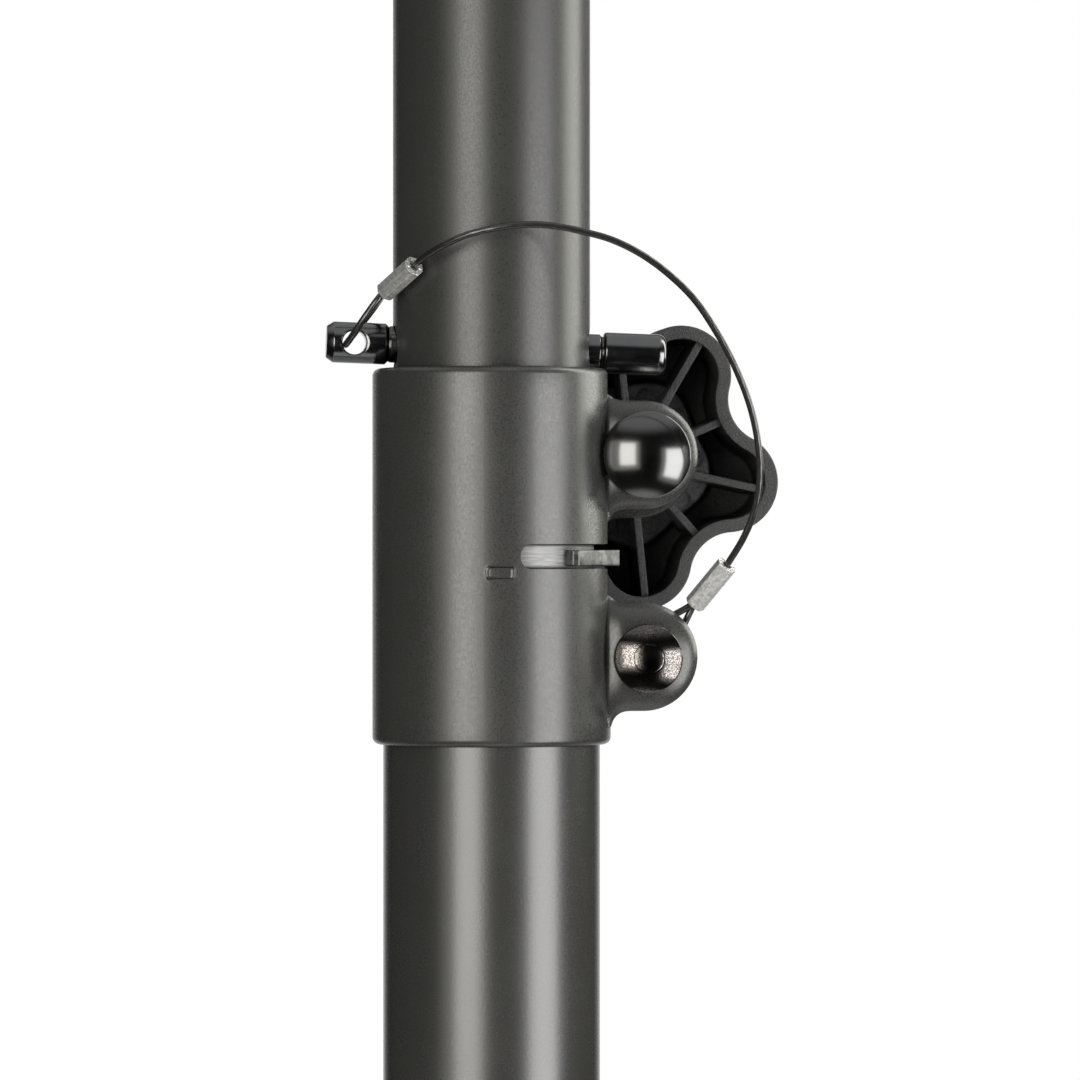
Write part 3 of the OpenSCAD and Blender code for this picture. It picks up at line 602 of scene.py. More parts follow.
def swept_wire(curve):
    """A round wire: circles square to the curve at each of its points, closed at both ends."""
    sides = 20
    tangent = tangents(curve)
    flat = np.linalg.svd(curve - curve.mean(0))[2][2]
    u = flat - (tangent @ flat)[:, None] * tangent
    u /= np.linalg.norm(u, axis=1, keepdims=True)
    v = np.cross(tangent, u)
    angle = np.linspace(0, 2 * math.pi, sides, endpoint=False)
    ring = np.cos(angle)[None, :, None] * u[:, None] + np.sin(angle)[None, :, None] * v[:, None]
    points = curve[:, None] + WIRE_R * ring
    wrap = np.stack(np.broadcast_arrays(np.cos(angle)[None], np.sin(angle)[None], path_length(curve)[:, None]), -1)
    rows = np.concatenate([np.repeat(curve[:1], sides, 0)[None], points, np.repeat(curve[-1:], sides, 0)[None]])
    wraps = np.concatenate([wrap[:1], wrap, wrap[-1:]])
    return (rows.reshape(-1, 3), grid(len(rows), sides), WIRE_COAT), wraps.reshape(-1, 3)


def on_collar(points):
    """Points given from the middle of the collar's top, in the row frame."""
    return np.asarray(points, float) + np.array([0, 0, COLLAR_TOP])


# ---------------------------------------------------------------- lanyard

# Routes of the wires and ends of the sleeves, from the middle of the collar's top
PIN_LOOP = [[-19.6, -7.1, 13.2], [-20.8, -7.6, 11.8], [-23.2, -7.0, 8.4], [-25.1, -5.3, 5.5], [-25.9, -3.4, 4.3],
            [-25.95, 0, 4.2], [-25.7, 3.4, 4.5], [-24.5, 5.2, 5.9], [-22.5, 5.4, 8.5], [-20.5, 3.2, 11.2],
            [-19.5, -1.5, 12.9], [-19.2, -5.6, 13.4]]
PIN_FERRULE = [[-19.2, -7, 13.4], [-14.6, -14, 17.6]]
LANYARD = [[-14.6, -14, 17.6], [-12.9, -16.6, 19.1], [-9.8, -19.7, 21], [-5.8, -22, 22.7], [-1.2, -23.3, 23.8],
           [4, -23.8, 24.4], [9.3, -23.9, 24.2], [14.4, -23.8, 23.2], [19.4, -23.6, 21.8], [24.4, -23.2, 19.4],
           [29.2, -22.8, 16], [33.9, -22.2, 11.5], [38, -21.4, 5.6], [41.4, -20.4, -0.6], [44.1, -19.2, -7.4],
           [45.6, -17.8, -14], [46, -16.2, -19.8], [45.3, -14.4, -25.2], [43.6, -12.4, -30], [41.2, -9.8, -34.4],
           [40.3, -9, -35.7]]
LANYARD_SPLIT = 8
RIVET_FERRULE = [[41.0, -9.6, -34.8], [35.7, -5, -41.8]]
RIVET_LOOP = [[35.9, -4.4, -41.2], [34.6, -4.4, -42.3], [30, -4.5, -44.8], [25, -4.5, -47.5], [22.5, -4.4, -50.4],
              [23.3, -4, -54.4], [27.2, -3.4, -55.5], [30.4, -3, -52.8], [32.8, -2.8, -48], [34.9, -3.5, -43.5],
              [35.9, -4.2, -41.2]]
WIRE_STEPS = 12


def wire_piece(name, body, curve, node):
    """A wire along a curve in collar coordinates, returned with its path in metres and its real length."""
    curve = on_collar(curve)
    shell, wrap = swept_wire(curve)
    obj = piece(name, body, [shell], [node], crease=60, wrap=[wrap])
    length = float(np.linalg.norm(np.diff(curve, axis=0), axis=1).sum()) * MM
    return obj, (curve * MM).tolist(), length


def ferrule_piece(name, body, ends, node, seed):
    """A crimped sleeve turned round its axis: the die leaves eight flats, so the radius follows an octagon with
    soft corners, with small bites along it; each end face has eight pressed creases round an open bore."""
    low, high = on_collar(ends)
    long = np.linalg.norm(high - low)
    face = np.linspace(0.95, FERRULE_R - 0.15, 9)
    rows = np.concatenate([
        [(0.0, 1.2), (0.78, 1.2), (0.85, 0.15)], np.column_stack([face, 0 * face]),
        softened_path([(FERRULE_R - 0.15, 0, 0), (FERRULE_R, 0, 0.14), (FERRULE_R, 0.3, 0)], 4)[1:],
        np.column_stack([np.full(60, FERRULE_R), np.linspace(0.4, long - 0.4, 60)]),
        softened_path([(FERRULE_R, long - 0.3, 0), (FERRULE_R, long, 0.14), (FERRULE_R - 0.15, long, 0)], 4),
        np.column_stack([face[::-1][1:], long + 0 * face[1:]]),
        [(0.85, long - 0.15), (0.78, long - 1.2), (0.0, long - 1.2)]])

    def crimped(radius, height, angle):
        eighth = math.pi / 4
        off = (angle + seed) % eighth - eighth / 2
        octagon = 0.06 + 0.96 * math.cos(eighth / 2) / np.cos(off)
        bites = 0.012 * np.sin(23 * angle + 3 * height + seed) * np.sin(9.0 * height + 2 * np.sin(5 * angle))
        outer = np.clip((radius - 0.95) / 0.6, 0, 1)
        off = (angle + seed + eighth / 2) % eighth - eighth / 2
        on_face = bell(radius, 1.35, 0.3) * ((height < 0.02) | (height > long - 0.02))
        crease = 0.16 * on_face * bell(off, 0, 0.1) * np.where(height > long / 2, -1, 1)
        return radius * (1 + outer * (octagon - 1 + bites)), height + crease

    shell = turned(rows, low, high - low, ALUMINIUM, 96, crimped)
    return piece(name, body, [shell], [node], crease=50)


lanyard_curve = catmull(LANYARD, WIRE_STEPS)
split_at = LANYARD_SPLIT * WIRE_STEPS
upper_wire, upper_path, upper_length = wire_piece("lanyard_wire_upper", None, lanyard_curve[: split_at + 1],
                                                  "lanyard_upper")
lower_wire, lower_path, lower_length = wire_piece("lanyard_wire_lower", None, lanyard_curve[split_at:],
                                                  "lanyard_lower")
pin_wire, pin_path, pin_length = wire_piece("pin_eye_loop", "lock_pin", catmull(PIN_LOOP, WIRE_STEPS), "pin_loop")
rivet_wire, rivet_path, rivet_length = wire_piece("rivet_eye_loop", "base", catmull(RIVET_LOOP, WIRE_STEPS),
                                                  "rivet_loop")
pin_sleeve = ferrule_piece("pin_crimp_sleeve", "lock_pin", PIN_FERRULE, "pin_ferrule", 0.6)
rivet_sleeve = ferrule_piece("rivet_crimp_sleeve", "base", RIVET_FERRULE, "rivet_ferrule", 2.1)
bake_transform(upper_wire)
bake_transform(lower_wire)

# ---------------------------------------------------------------- clamp collar


def window_mark(along, up):
    """Depth of the small engraved frame at the collar's front: a groove along a rounded rectangle's outline with a
    low burr."""
    corner = 0.55
    a = np.abs(along) - MARK_LONG + corner
    b = np.abs(up - MARK_Z) - MARK_HIGH + corner
    outside = np.hypot(np.maximum(a, 0), np.maximum(b, 0)) + np.minimum(np.maximum(a, b), 0) - corner
    return 0.05 * bell(outside, 0.36, 0.12) - 0.2 * bell(outside, 0, 0.17)


def collar_wall():
    """The pressed collar: radius as a function of angle and height on a grid of outer and inner points.
    Cells in the split between the ears and in the band's slot are left out, their edges are walled, and columns
    near a slot's end slide along the collar so that the end is half a circle."""
    slot_end = 90.0 - SLOT_START - math.degrees(SLOT_HALF / COLLAR_R)
    split = math.degrees(math.asin(EAR_BACK / COLLAR_R))
    mark = np.degrees(np.arange(-3.0, 3.01, 0.15) / COLLAR_R) - 90.0
    coarse = np.arange(-180.0, 180.0, 3.0)
    coarse = coarse[(coarse < mark[0] - 1) | (coarse > mark[-1] + 1)]
    coarse = coarse[(np.abs(np.abs(coarse) - split) > 1.2) & (np.abs(np.abs(coarse) - slot_end) > 1.2)]
    angle = np.unique(np.round(np.concatenate([coarse, mark, [-slot_end, slot_end, -split, split]]), 4))

    arc = np.radians(np.linspace(0, 90, 7))
    low, top = -COLLAR_H, 0.0
    slot_rows = SLOT_Z + SLOT_HALF * np.sin(np.radians(np.linspace(-90, 90, 15)))
    mark_rows = np.arange(-37.7, -34.55, 0.15)
    inside = np.unique(np.round(np.concatenate([[SPLIT_LOW, -56, -46, -40, -24, -12, -4], slot_rows, mark_rows]), 4))
    outer_z = np.concatenate([low + EDGE_R - EDGE_R * np.cos(arc), inside, top - EDGE_R + EDGE_R * np.sin(arc)])
    outer_r = np.concatenate([COLLAR_R - EDGE_R + EDGE_R * np.sin(arc), np.full(len(inside), COLLAR_R),
                              COLLAR_R - EDGE_R + EDGE_R * np.cos(arc)])
    inner_z = np.concatenate([np.linspace(low, low + EDGE_R, 7), inside,
                              [-LIP_T - 0.01, -LIP_T, -LIP_T, -1.1, -0.7, -0.3, 0.0]])
    inner_r = np.concatenate([np.full(7, COLLAR_BORE), np.full(len(inside), COLLAR_BORE),
                              [COLLAR_BORE, 18.9, LIP_R, LIP_R, LIP_R, LIP_R, LIP_R]])

    rows, cols = len(outer_z), len(angle)
    turn = np.repeat(angle[None, :], rows, 0)
    in_slot = np.abs(outer_z - SLOT_Z) < SLOT_HALF + 1e-3
    bulge = np.degrees(np.sqrt(np.maximum(SLOT_HALF**2 - (outer_z - SLOT_Z) ** 2, 0)) / COLLAR_R)
    room = 3.6
    for side in (-1, 1):
        from_end = (side * turn) - slot_end
        slide = np.clip(1 - np.maximum(from_end, 0) / math.degrees(room / COLLAR_R), 0, 1) * (from_end > -1e-6)
        turn += side * bulge[:, None] * slide * in_slot[:, None]
    outer_r = outer_r[:, None] + np.where(np.abs(turn + 90) < 9.5,
                                          window_mark(np.radians(turn + 90) * COLLAR_R, outer_z[:, None]), 0.0)
    radians = np.radians(turn)
    outer = polar(outer_r, radians, outer_z[:, None])
    inner = polar(inner_r[:, None], radians, inner_z[:, None])
    points = np.concatenate([outer.reshape(-1, 3), inner.reshape(-1, 3)])

    number = np.arange(rows * cols).reshape(rows, cols)
    right = np.roll(number, -1, axis=1)
    middle = (angle + np.roll(angle, -1) + np.where(np.arange(cols) == cols - 1, 360, 0)) / 2
    centre_z = (outer_z[:-1] + outer_z[1:]) / 2
    gone = (np.abs(middle) < split)[None, :] & (centre_z > SPLIT_LOW)[:, None]
    gone |= (np.abs(middle) < slot_end)[None, :] & (np.abs(centre_z - SLOT_Z) < SLOT_HALF)[:, None]
    kept = ~gone
    cells = np.stack([number[:-1], right[:-1], right[1:], number[1:]], -1)[kept]
    other = rows * cols
    quads = [cells, cells[:, ::-1] + other]

    def wall(a, b, where):
        quads.append(np.stack([a, b, b + other, a + other], -1)[where])

    padded = np.zeros((rows + 1, cols), bool)
    padded[1:-1] = kept
    for edge in range(rows):
        below, above = padded[edge], padded[edge + 1]
        wall(right[edge], number[edge], above & ~below)
        wall(number[edge], right[edge], below & ~above)
    left_kept = np.roll(kept, 1, axis=1)
    wall(number[:-1], number[1:], kept & ~left_kept)
    wall(number[1:], number[:-1], ~kept & left_kept)
    return on_collar(points), np.concatenate(quads), COLLAR_COAT


def pressed_drop(away):
    """How far the ear's face falls back near an edge, by distance from that edge: a superellipse's corner."""
    share = np.clip(1 - (away + 0.35) / 10.3, 0, 1)
    return 4.6 * (1 - np.maximum(1 - share**2.6, 0) ** (1 / 2.6))


def ear_outline(radius, above, below):
    """Outline of an ear from its bolt: half a circle, straight flanks and a hollow flare of the given reach where
    each flank meets the wall, then a foot inside the wall. Also gives the part of it that can be seen."""
    flank_end, flare_bend, flare_end, heel, foot = 24.2, 21.3, 20.8, 19.2, 17.2
    t = np.radians(np.linspace(-90, 90, 60))
    nose = np.column_stack([EAR_X + radius * np.cos(t), radius * np.sin(t)])
    s = np.linspace(0, 1, 24)[:, None]
    flares = [np.array([flank_end, radius]) * (1 - s) ** 2 + np.array([flare_bend, radius]) * 2 * s * (1 - s)
              + np.array([flare_end, radius + reach]) * s**2 for reach in (above, below)]
    top, bottom = (np.concatenate([flare, [[heel, radius + reach + 0.8], [foot, radius + reach], [foot, 0.0]]])
                   for flare, reach in zip(flares, (above, below)))
    path = np.concatenate([nose, top, (bottom * [1, -1])[::-1][1:], nose[:1]])
    seen = np.concatenate([(flares[1] * [1, -1])[::-1], nose, flares[0]])
    return resampled(path, 180, endpoint=False), resampled(seen, 500)


def ear_plate(z, radius, above, below, side):
    """A pressed ear: rings drawn out from its middle to its outline. The face falls back toward the outline as a
    superellipse does, leans back toward the wall by two soft ramps and meets the collar's cylinder in a crease. The
    back follows it at the sheet's thickness, thinner at the edge. side is -1 for the front ear, 1 for the back."""
    outline, seen = ear_outline(radius, above, below)
    centre = np.array([23.5, 0.0])
    shares = np.concatenate([[0, 0.2, 0.35], np.linspace(0.45, 0.9, 24), 1 - 0.1 * np.linspace(0.9, 0, 10) ** 1.6])
    back_shares = np.array([0.985, 0.96, 0.9, 0.8, 0.6, 0.3, 0.0])
    all_shares = np.concatenate([shares, [1.0, 1.0, 1.0], back_shares])
    sheet = np.concatenate([0 * shares, [0.25, 0.6, 0.85], [0.95, 1.15, 1.6, 2.0, 2.2, 2.2, 2.2]])[:, None]
    flat = centre + all_shares[:, None, None] * (outline - centre)
    x, up = flat[..., 0], flat[..., 1]
    to_edge = np.sqrt(((flat[:, :, None] - seen[None, None]) ** 2).sum(-1)).min(2)
    lean = 0.36 * ramp(x, 22.1, 0.4) + 1.5 * ramp(x, 19.95, 0.12)
    crown = EAR_FRONT - pressed_drop(to_edge) - lean
    wall = np.sqrt(np.maximum(COLLAR_R**2 - x**2, 0))
    front = np.maximum(crown, wall - 0.6)
    points = np.stack([x, side * (front - sheet), up + z], -1)
    return on_collar(points.reshape(-1, 3)), grid(len(all_shares), len(outline), flip=side > 0), COLLAR_COAT


collar = piece("pressed_collar", "base", [collar_wall()] + [ear_plate(*ear) for ear in EARS],
               ["clamp_collar"], crease=50)
rounded_edges(collar, 0.16, 2, 55, harden=False)

# ---------------------------------------------------------------- spring band


def spring_band():
    """The strip round the mast: a rectangle of soft corners carried along an arc that stays open at the split."""
    inner, outer, low, high = 18.05, 19.05, -45.7, -9.3
    section = softened_path([(inner, low + 4, 0), (inner, low, 0.2), (outer, low, 0.2), (outer, high, 0.2),
                             (inner, high, 0.2), (inner, low + 4, 0)], 4)[:-1]
    angle = np.radians(np.linspace(22.5, 337.5, 160))[:, None]
    return capped(on_collar(polar(section[:, 0], angle, section[:, 1])), BAND_STEEL)


def band_tab():
    """The tab that is bent out through the slot: a flat section carried along a rising wall, a bend and a straight
    run."""
    low, high, thick = -34.95, -32.15, 0.95
    path = softened_path([(11.9, -14.7, 0), (13.1, -16.05, 0.3), (14.25, -16.05, 0.35), (22.25, -5.8, 0)], 7)
    path = np.concatenate([path[:-1], np.linspace(path[-2], path[-1], 14)[1:]])
    tangent = tangents(path)
    inward = np.column_stack([-tangent[:, 1], tangent[:, 0]])
    section = softened_path([(0, low + 1, 0), (0, low, 0.22), (thick, low, 0.1), (thick, high, 0.1), (0, high, 0.22),
                             (0, low + 1, 0)], 5)[:-1]
    flat = path[:, None] + inward[:, None] * section[None, :, :1]
    rows = np.concatenate([flat, section[None, :, 1:] + 0 * flat[..., :1]], -1)
    return capped(on_collar(rows), TAB_STEEL, flip=True)


piece("spring_band_with_tab", "base", [spring_band(), band_tab()], ["clamp_band"], crease=40)

# ---------------------------------------------------------------- bolt and rivet

HEAD_SEAT, BOLT_PITCH, FRONTWARD = EAR_BACK + 0.8, 1.25, (0, -1, 0)


def domed_head(radius, curve, top):
    """Profile of a head: a spherical cap, a small roll on to a straight skirt, and the skirt down to its seat."""
    roll = 0.35
    edge = math.asin((radius - roll) / curve)
    t = np.linspace(0, edge, 160)
    cap = np.column_stack([curve * np.sin(t), top - curve + curve * np.cos(t)])
    shoulder = cap[-1, 1] - roll * math.tan(edge)
    skirt = softened_path([(*cap[-1], 0), (radius, shoulder, roll), (radius, HEAD_SEAT, 0)], 6)
    return np.concatenate([cap, skirt[1:], [(0.0, HEAD_SEAT)]])


def clamp_bolt_piece():
    """Dome on the front ear, seated a little off its hole, and a plain shank through the ears with a thread into
    the knob."""
    shank = [(0.0, EAR_FRONT), (4.0, EAR_FRONT), (4.0, -EAR_FRONT - 1.0)]
    turns = np.arange(-EAR_FRONT - 1.5, -34.6, -0.25)
    thread = np.column_stack([3.86 + 0.14 * np.cos(turns * 2 * math.pi / BOLT_PITCH), turns])
    tail = [(3.4, -35.0), (0.0, -35.15)]
    seat = on_collar([EAR_X, 0, BOLT_Z])
    return [turned(domed_head(DOME_R, DOME_CURVE, DOME_TOP), seat + [0.2, 0, 0.7], FRONTWARD, GLOSS_BLACK, 120),
            turned(np.concatenate([shank, thread, tail]), seat, FRONTWARD, ZINC, 64)]


def rivet_piece():
    """Low rivet head with a struck ring round its middle, a shank and an upset tail behind the back ear."""
    head = domed_head(RIVET_R, RIVET_CURVE, RIVET_TOP)
    head[:, 1] -= 0.025 * bell(head[:, 0], 2.62, 0.1) * (head[:, 1] > EAR_FRONT + 1)
    tail = softened_path([(0.0, EAR_FRONT, 0), (3.0, EAR_FRONT, 0), (3.0, -EAR_FRONT, 0), (5.1, -EAR_FRONT, 0.2),
                          (5.1, -EAR_FRONT - 2.0, 0.9), (0.0, -EAR_FRONT - 2.0, 0)], 6)
    seat = on_collar([EAR_X, 0, RIVET_Z])
    return [turned(head, seat + [0.5, 0, 0.1], FRONTWARD, BLACK_NICKEL, 120),
            turned(tail, seat, FRONTWARD, BLACK_NICKEL, 64)]


piece("domed_clamp_bolt", "base", clamp_bolt_piece(), ["clamp_bolt"], crease=45)
piece("struck_rivet", "base", rivet_piece(), ["collar_rivet"], crease=60)

# ---------------------------------------------------------------- lock pin


def lock_pin_shell():
    """The pin: a profile turned round its tilted axis, on a grid that is fitted round the eye. In a square of
    cells about the eye, points are drawn from the square's rim to the eye's edge in step with their distance,
    the cells inside the edge are left out, and a countersunk wall joins the two sides of the eye."""
    # Cells from the square's middle to its rim and to the eye, the square's half width, points round the pin
    half, inner, square, count = 10, 5, 3.3, 64
    width = 2 * half + 1
    window = np.linspace(-square, square, width)
    start = softened_path([(0.0, -PIN_LEFT, 0), (2.85, -PIN_LEFT, 0.12), (PIN_R, -PIN_LEFT + 1.25, 0.12),
                           (PIN_R, EYE_X - square - 0.05, 0)], 5)[:-1]
    rest = softened_path([(PIN_R, EYE_X + square + 0.05, 0), (PIN_R, -18.95, 0.1), (3.05, -18.35, 0.1),
                          (3.25, -18.1, 0.06), (3.25, 19.15, 0.12), (2.85, 19.5, 0.1), (2.85, 19.75, 0.1),
                          (3.3, 19.85, 0.05), (PIN_R, 20.15, 0.22), (PIN_R, PIN_RIGHT - 1.35, 0.25),
                          (3.35, PIN_RIGHT - 0.4, 0.5), (2.7, PIN_RIGHT, 0.4), (1.6, PIN_RIGHT, 0.2),
                          (1.3, PIN_RIGHT - 0.5, 0.2), (0.0, PIN_RIGHT - 0.5, 0)], 5)
    eye_rows = np.column_stack([np.full(len(window), PIN_R), EYE_X + window])
    profile = np.concatenate([start, eye_rows, rest])
    first = len(start)
    half_turn = math.asin(square / PIN_R)
    front = np.linspace(-half_turn, half_turn, width)
    side = np.linspace(half_turn, math.pi - half_turn, count // 4 + 1)[1:-1]
    turn = np.concatenate([front, side, front + math.pi, side + math.pi])
    x = profile[:, 1][:, None] + 0 * turn
    radius = profile[:, 0][:, None] + 0 * turn
    angle = turn[None, :] + 0 * x
    p = np.arange(-half, half + 1)
    reach = np.maximum(np.abs(p[:, None]), np.abs(p[None, :])).astype(float)
    away = np.maximum(np.hypot(p[:, None], p[None, :]), 1)
    share = np.clip((reach - inner) / (half - inner), 0, 1)
    for column in (0, width + len(side)):
        rim_x = square * p[:, None] / np.maximum(reach, 1)
        rim_z = square * p[None, :] / np.maximum(reach, 1)
        ring_x = EYE_LONG * p[:, None] / away
        ring_z = EYE_HIGH * p[None, :] / away
        new_x = EYE_X + ring_x + (rim_x - ring_x) * share
        new_z = ring_z + (rim_z - ring_z) * share
        inside = reach >= inner
        block = (slice(first, first + width), slice(column, column + width))
        x[block] = np.where(inside, new_x, x[block])
        base = 0.0 if column == 0 else math.pi
        angle[block] = np.where(inside, base + np.arcsin(np.clip(new_z / PIN_R, -1, 1)), angle[block])
    points = np.stack([x, -radius * np.cos(angle), radius * np.sin(angle)], -1)
    rows, cols = x.shape
    number = np.arange(rows * cols).reshape(rows, cols)
    right = np.roll(number, -1, 1)
    cells = np.stack([number[:-1], number[1:], right[1:], right[:-1]], -1)
    keep = np.ones((rows - 1, cols), bool)
    hole = slice(first + half - inner, first + half + inner)
    loops = []
    around = np.concatenate([
        [(-inner, q) for q in range(-inner, inner)], [(q, inner) for q in range(-inner, inner)],
        [(inner, q) for q in range(inner, -inner, -1)], [(q, -inner) for q in range(inner, -inner, -1)]])
    for column, mirror in ((0, 1), (width + len(side), -1)):
        keep[hole, column + half - inner : column + half + inner] = False
        loops.append(number[first + half + around[:, 0], column + half + mirror * around[:, 1]])
    eye = points.reshape(-1, 3)[loops[0]], points.reshape(-1, 3)[loops[1]]
    middle = np.array([EYE_X, 0, 0])
    bore = []
    for end, sign in zip(eye, (-1, 1)):
        for size in (1.0, 0.92, 0.55, 0.12, 0.0)[::-sign]:
            scale = np.array([EYE_R / EYE_LONG, 0, EYE_R / EYE_HIGH]) * (1 - size) + np.array([1.0, 0, 1.0]) * size
            ring = middle + (end - middle) * scale
            deep = sign * math.sqrt(PIN_R**2 - EYE_HIGH**2) + sign * 0.35 * (size - 1)
            ring[:, 1] = end[:, 1] * (size >= 1) + deep * (size < 1) - sign * 0.1 * (size == 0.92)
            bore.append(ring)
    quads = np.concatenate([cells[keep], grid(len(bore), len(around)) + rows * cols])
    points = np.concatenate([points.reshape(-1, 3), *bore])
    tilt = math.radians(PIN_TILT)
    turn_y = np.array([[math.cos(tilt), 0, math.sin(tilt)], [0, 1, 0], [-math.sin(tilt), 0, math.cos(tilt)]])
    return on_collar(points @ turn_y.T + [0, 0, PIN_RISE]), quads, BLACK_OXIDE


piece("turned_lock_pin", "lock_pin", [lock_pin_shell()], ["lock_pin"], crease=40)

# ---------------------------------------------------------------- knobs


def lobed(angle, inset):
    """Distance from the knob's axis to its outline drawn in by inset: circles at the lobes, hollow circles between."""
    third = math.radians(36)
    off = np.abs((angle + third) % (2 * third) - third)
    lobe_r, valley_r = LOBE_R - inset, VALLEY_R + inset
    lobe = LOBE_POS * np.cos(off) + np.sqrt(np.maximum(lobe_r**2 - (LOBE_POS * np.sin(off)) ** 2, 0))
    back = third - off
    valley = VALLEY_POS * np.cos(back) - np.sqrt(np.maximum(valley_r**2 - (VALLEY_POS * np.sin(back)) ** 2, 0))
    touch = np.array([LOBE_POS, 0.0]) + (VALLEY_POS * np.array([math.cos(third), math.sin(third)])
                                         - np.array([LOBE_POS, 0.0])) * lobe_r / (lobe_r + valley_r)
    return np.where(off < math.atan2(touch[1], touch[0]), lobe, valley)


def knob_at(radius, angle, depth):
    """Knob coordinates to the row frame: angles run from a lobe, depth goes away from the ears. The grip sits
    on its thread with a little play to the right."""
    world = math.radians(LOBE_TURN) - angle
    x, z = EAR_X + KNOB_PLAY + radius * np.cos(world), COLLAR_TOP + BOLT_Z + radius * np.sin(world)
    return np.stack(np.broadcast_arrays(x, depth, z), -1)


def knob_cup():
    """Back face, side, rolled rim, inner wall and floor of the knob, as rings of its outline drawn in step by step.
    The floor's inner field stands higher, open at the middle for the bolt's end, with ejector marks pressed in it as
    shallow rings."""
    angle = np.linspace(0, 2 * math.pi, 400, endpoint=False)
    edge = softened_path([(5.0, KNOB_BACK, 0), (0.0, KNOB_BACK, 2.6), (0.0, KNOB_RIM_Y, 0.4),
                          (RIM_WALL, KNOB_RIM_Y, 0.3), (RIM_WALL + 0.35, KNOB_FLOOR, 1.2),
                          (RIM_WALL + 2.0, KNOB_FLOOR, 0)], 8)
    rows = [knob_at(share * lobed(angle, 5.0), angle, KNOB_BACK) for share in np.linspace(0, 1, 6)[:-1]]
    rows += [knob_at(lobed(angle, inset), angle, depth) for inset, depth in edge]
    outline = lobed(angle, RIM_WALL + 2.0)
    for share in np.linspace(1, 0.3, 84)[1:]:
        radius = share * outline
        field = within(radius, FIELD_R + 0.9 * np.cos(5 * angle), 0.2) * within(FIELD_BORE, radius, 0.15)
        depth = KNOB_FLOOR - FIELD_HIGH * field
        for turn in np.radians(EJECTOR_TURNS):
            gap = np.hypot(radius * np.cos(angle) - EJECTOR_R * math.cos(turn),
                           radius * np.sin(angle) - EJECTOR_R * math.sin(turn))
            depth = depth + 0.3 * within(gap, 1.6, 0.08) - 0.2 * bell(gap, 1.85, 0.15)
        rows.append(knob_at(radius, angle, depth))
    rows.append(knob_at(0 * angle, angle, KNOB_FLOOR))
    return np.concatenate(rows), grid(len(rows), len(angle), flip=True), RIM_NYLON


def rib(turn, reach):
    """A rib from the hub to the rim: a drafted wall with a rounded crest, carried outward from the knob's axis."""
    half, floor, top = 0.7, KNOB_FLOOR + 0.3, KNOB_RIM_Y + 1.0
    section = softened_path([(-half - 0.9, floor, 0), (-half - 0.2, floor - 0.4, 0.5), (-half, top, 0.3),
                             (half, top, 0.3), (half + 0.2, floor - 0.4, 0.5), (half + 0.9, floor, 0)], 5)
    far, across = np.linspace(8.0, reach, 12)[:, None], section[:, 0]
    return capped(knob_at(np.hypot(far, across), turn + np.arctan2(across, far), section[:, 1]), RIM_NYLON)


def knob_tower():
    """The boss round the brass insert: a drafted ring with rounded edges, turned round the knob's axis."""
    front, floor = KNOB_RIM_Y - 6, KNOB_FLOOR + 0.5
    profile = softened_path([(9.0, floor, 0), (8.7, front, 0.35), (6.0, front, 0.3), (6.0, floor, 0)], 6)
    profile = np.concatenate([profile, profile[:1]])
    return turned(profile, on_collar([EAR_X, 0, BOLT_Z]), (0, 1, 0), RIM_NYLON, 120)


def knob_tab():
    """The small curved tab between the hub and a lobe rib: a short arc of wall on the floor."""
    top = KNOB_RIM_Y + 4.5
    turn = np.radians(np.linspace(LOBE_TURN - 11, LOBE_TURN + 11, 16))[:, None]
    section = softened_path([(10.2, KNOB_FLOOR, 0), (10.2, top, 0.2), (11.0, top, 0.2), (11.0, KNOB_FLOOR, 0)], 4)
    return capped(knob_at(section[:, 0], turn, section[:, 1]), RIM_NYLON)


knob_shells = [knob_cup(), knob_tower(), knob_tab()]
knob_shells += [rib(math.radians(36 * k), (VALLEY_POS - VALLEY_R if k % 2 else LOBE_POS + LOBE_R) - 1.2)
                for k in range(10)]
clamp_grip = piece("lobed_clamp_knob", "clamp_knob", knob_shells, ["clamp_knob"], crease=40)


def inner_faces(obj, finish, radius, front):
    """Gives the inner finish to the faces in the knob's cup that are behind front: glossier, its tone raised as
    painted light, with painted shade in its pockets.
    """
    mesh = obj.data
    mesh.materials.append(finish)
    count = len(mesh.polygons)
    centre = np.zeros(count * 3)
    mesh.polygons.foreach_get("center", centre)
    centre = centre.reshape(-1, 3) / MM
    off = centre[:, [0, 2]] - [EAR_X, COLLAR_TOP + BOLT_Z]
    turn = math.radians(LOBE_TURN) - np.arctan2(off[:, 1], off[:, 0])
    inside = (np.hypot(*off.T) < lobed(turn, radius)) & (centre[:, 1] > front) & (centre[:, 1] < KNOB_BACK - 1)
    index = np.zeros(count, np.int32)
    mesh.polygons.foreach_get("material_index", index)
    mesh.polygons.foreach_set("material_index", np.where(inside, len(mesh.materials) - 1, index).astype(np.int32))


inner_faces(clamp_grip, INNER_NYLON_PAINTED_SHADING, RIM_WALL - 0.3, KNOB_RIM_Y + 1.6)


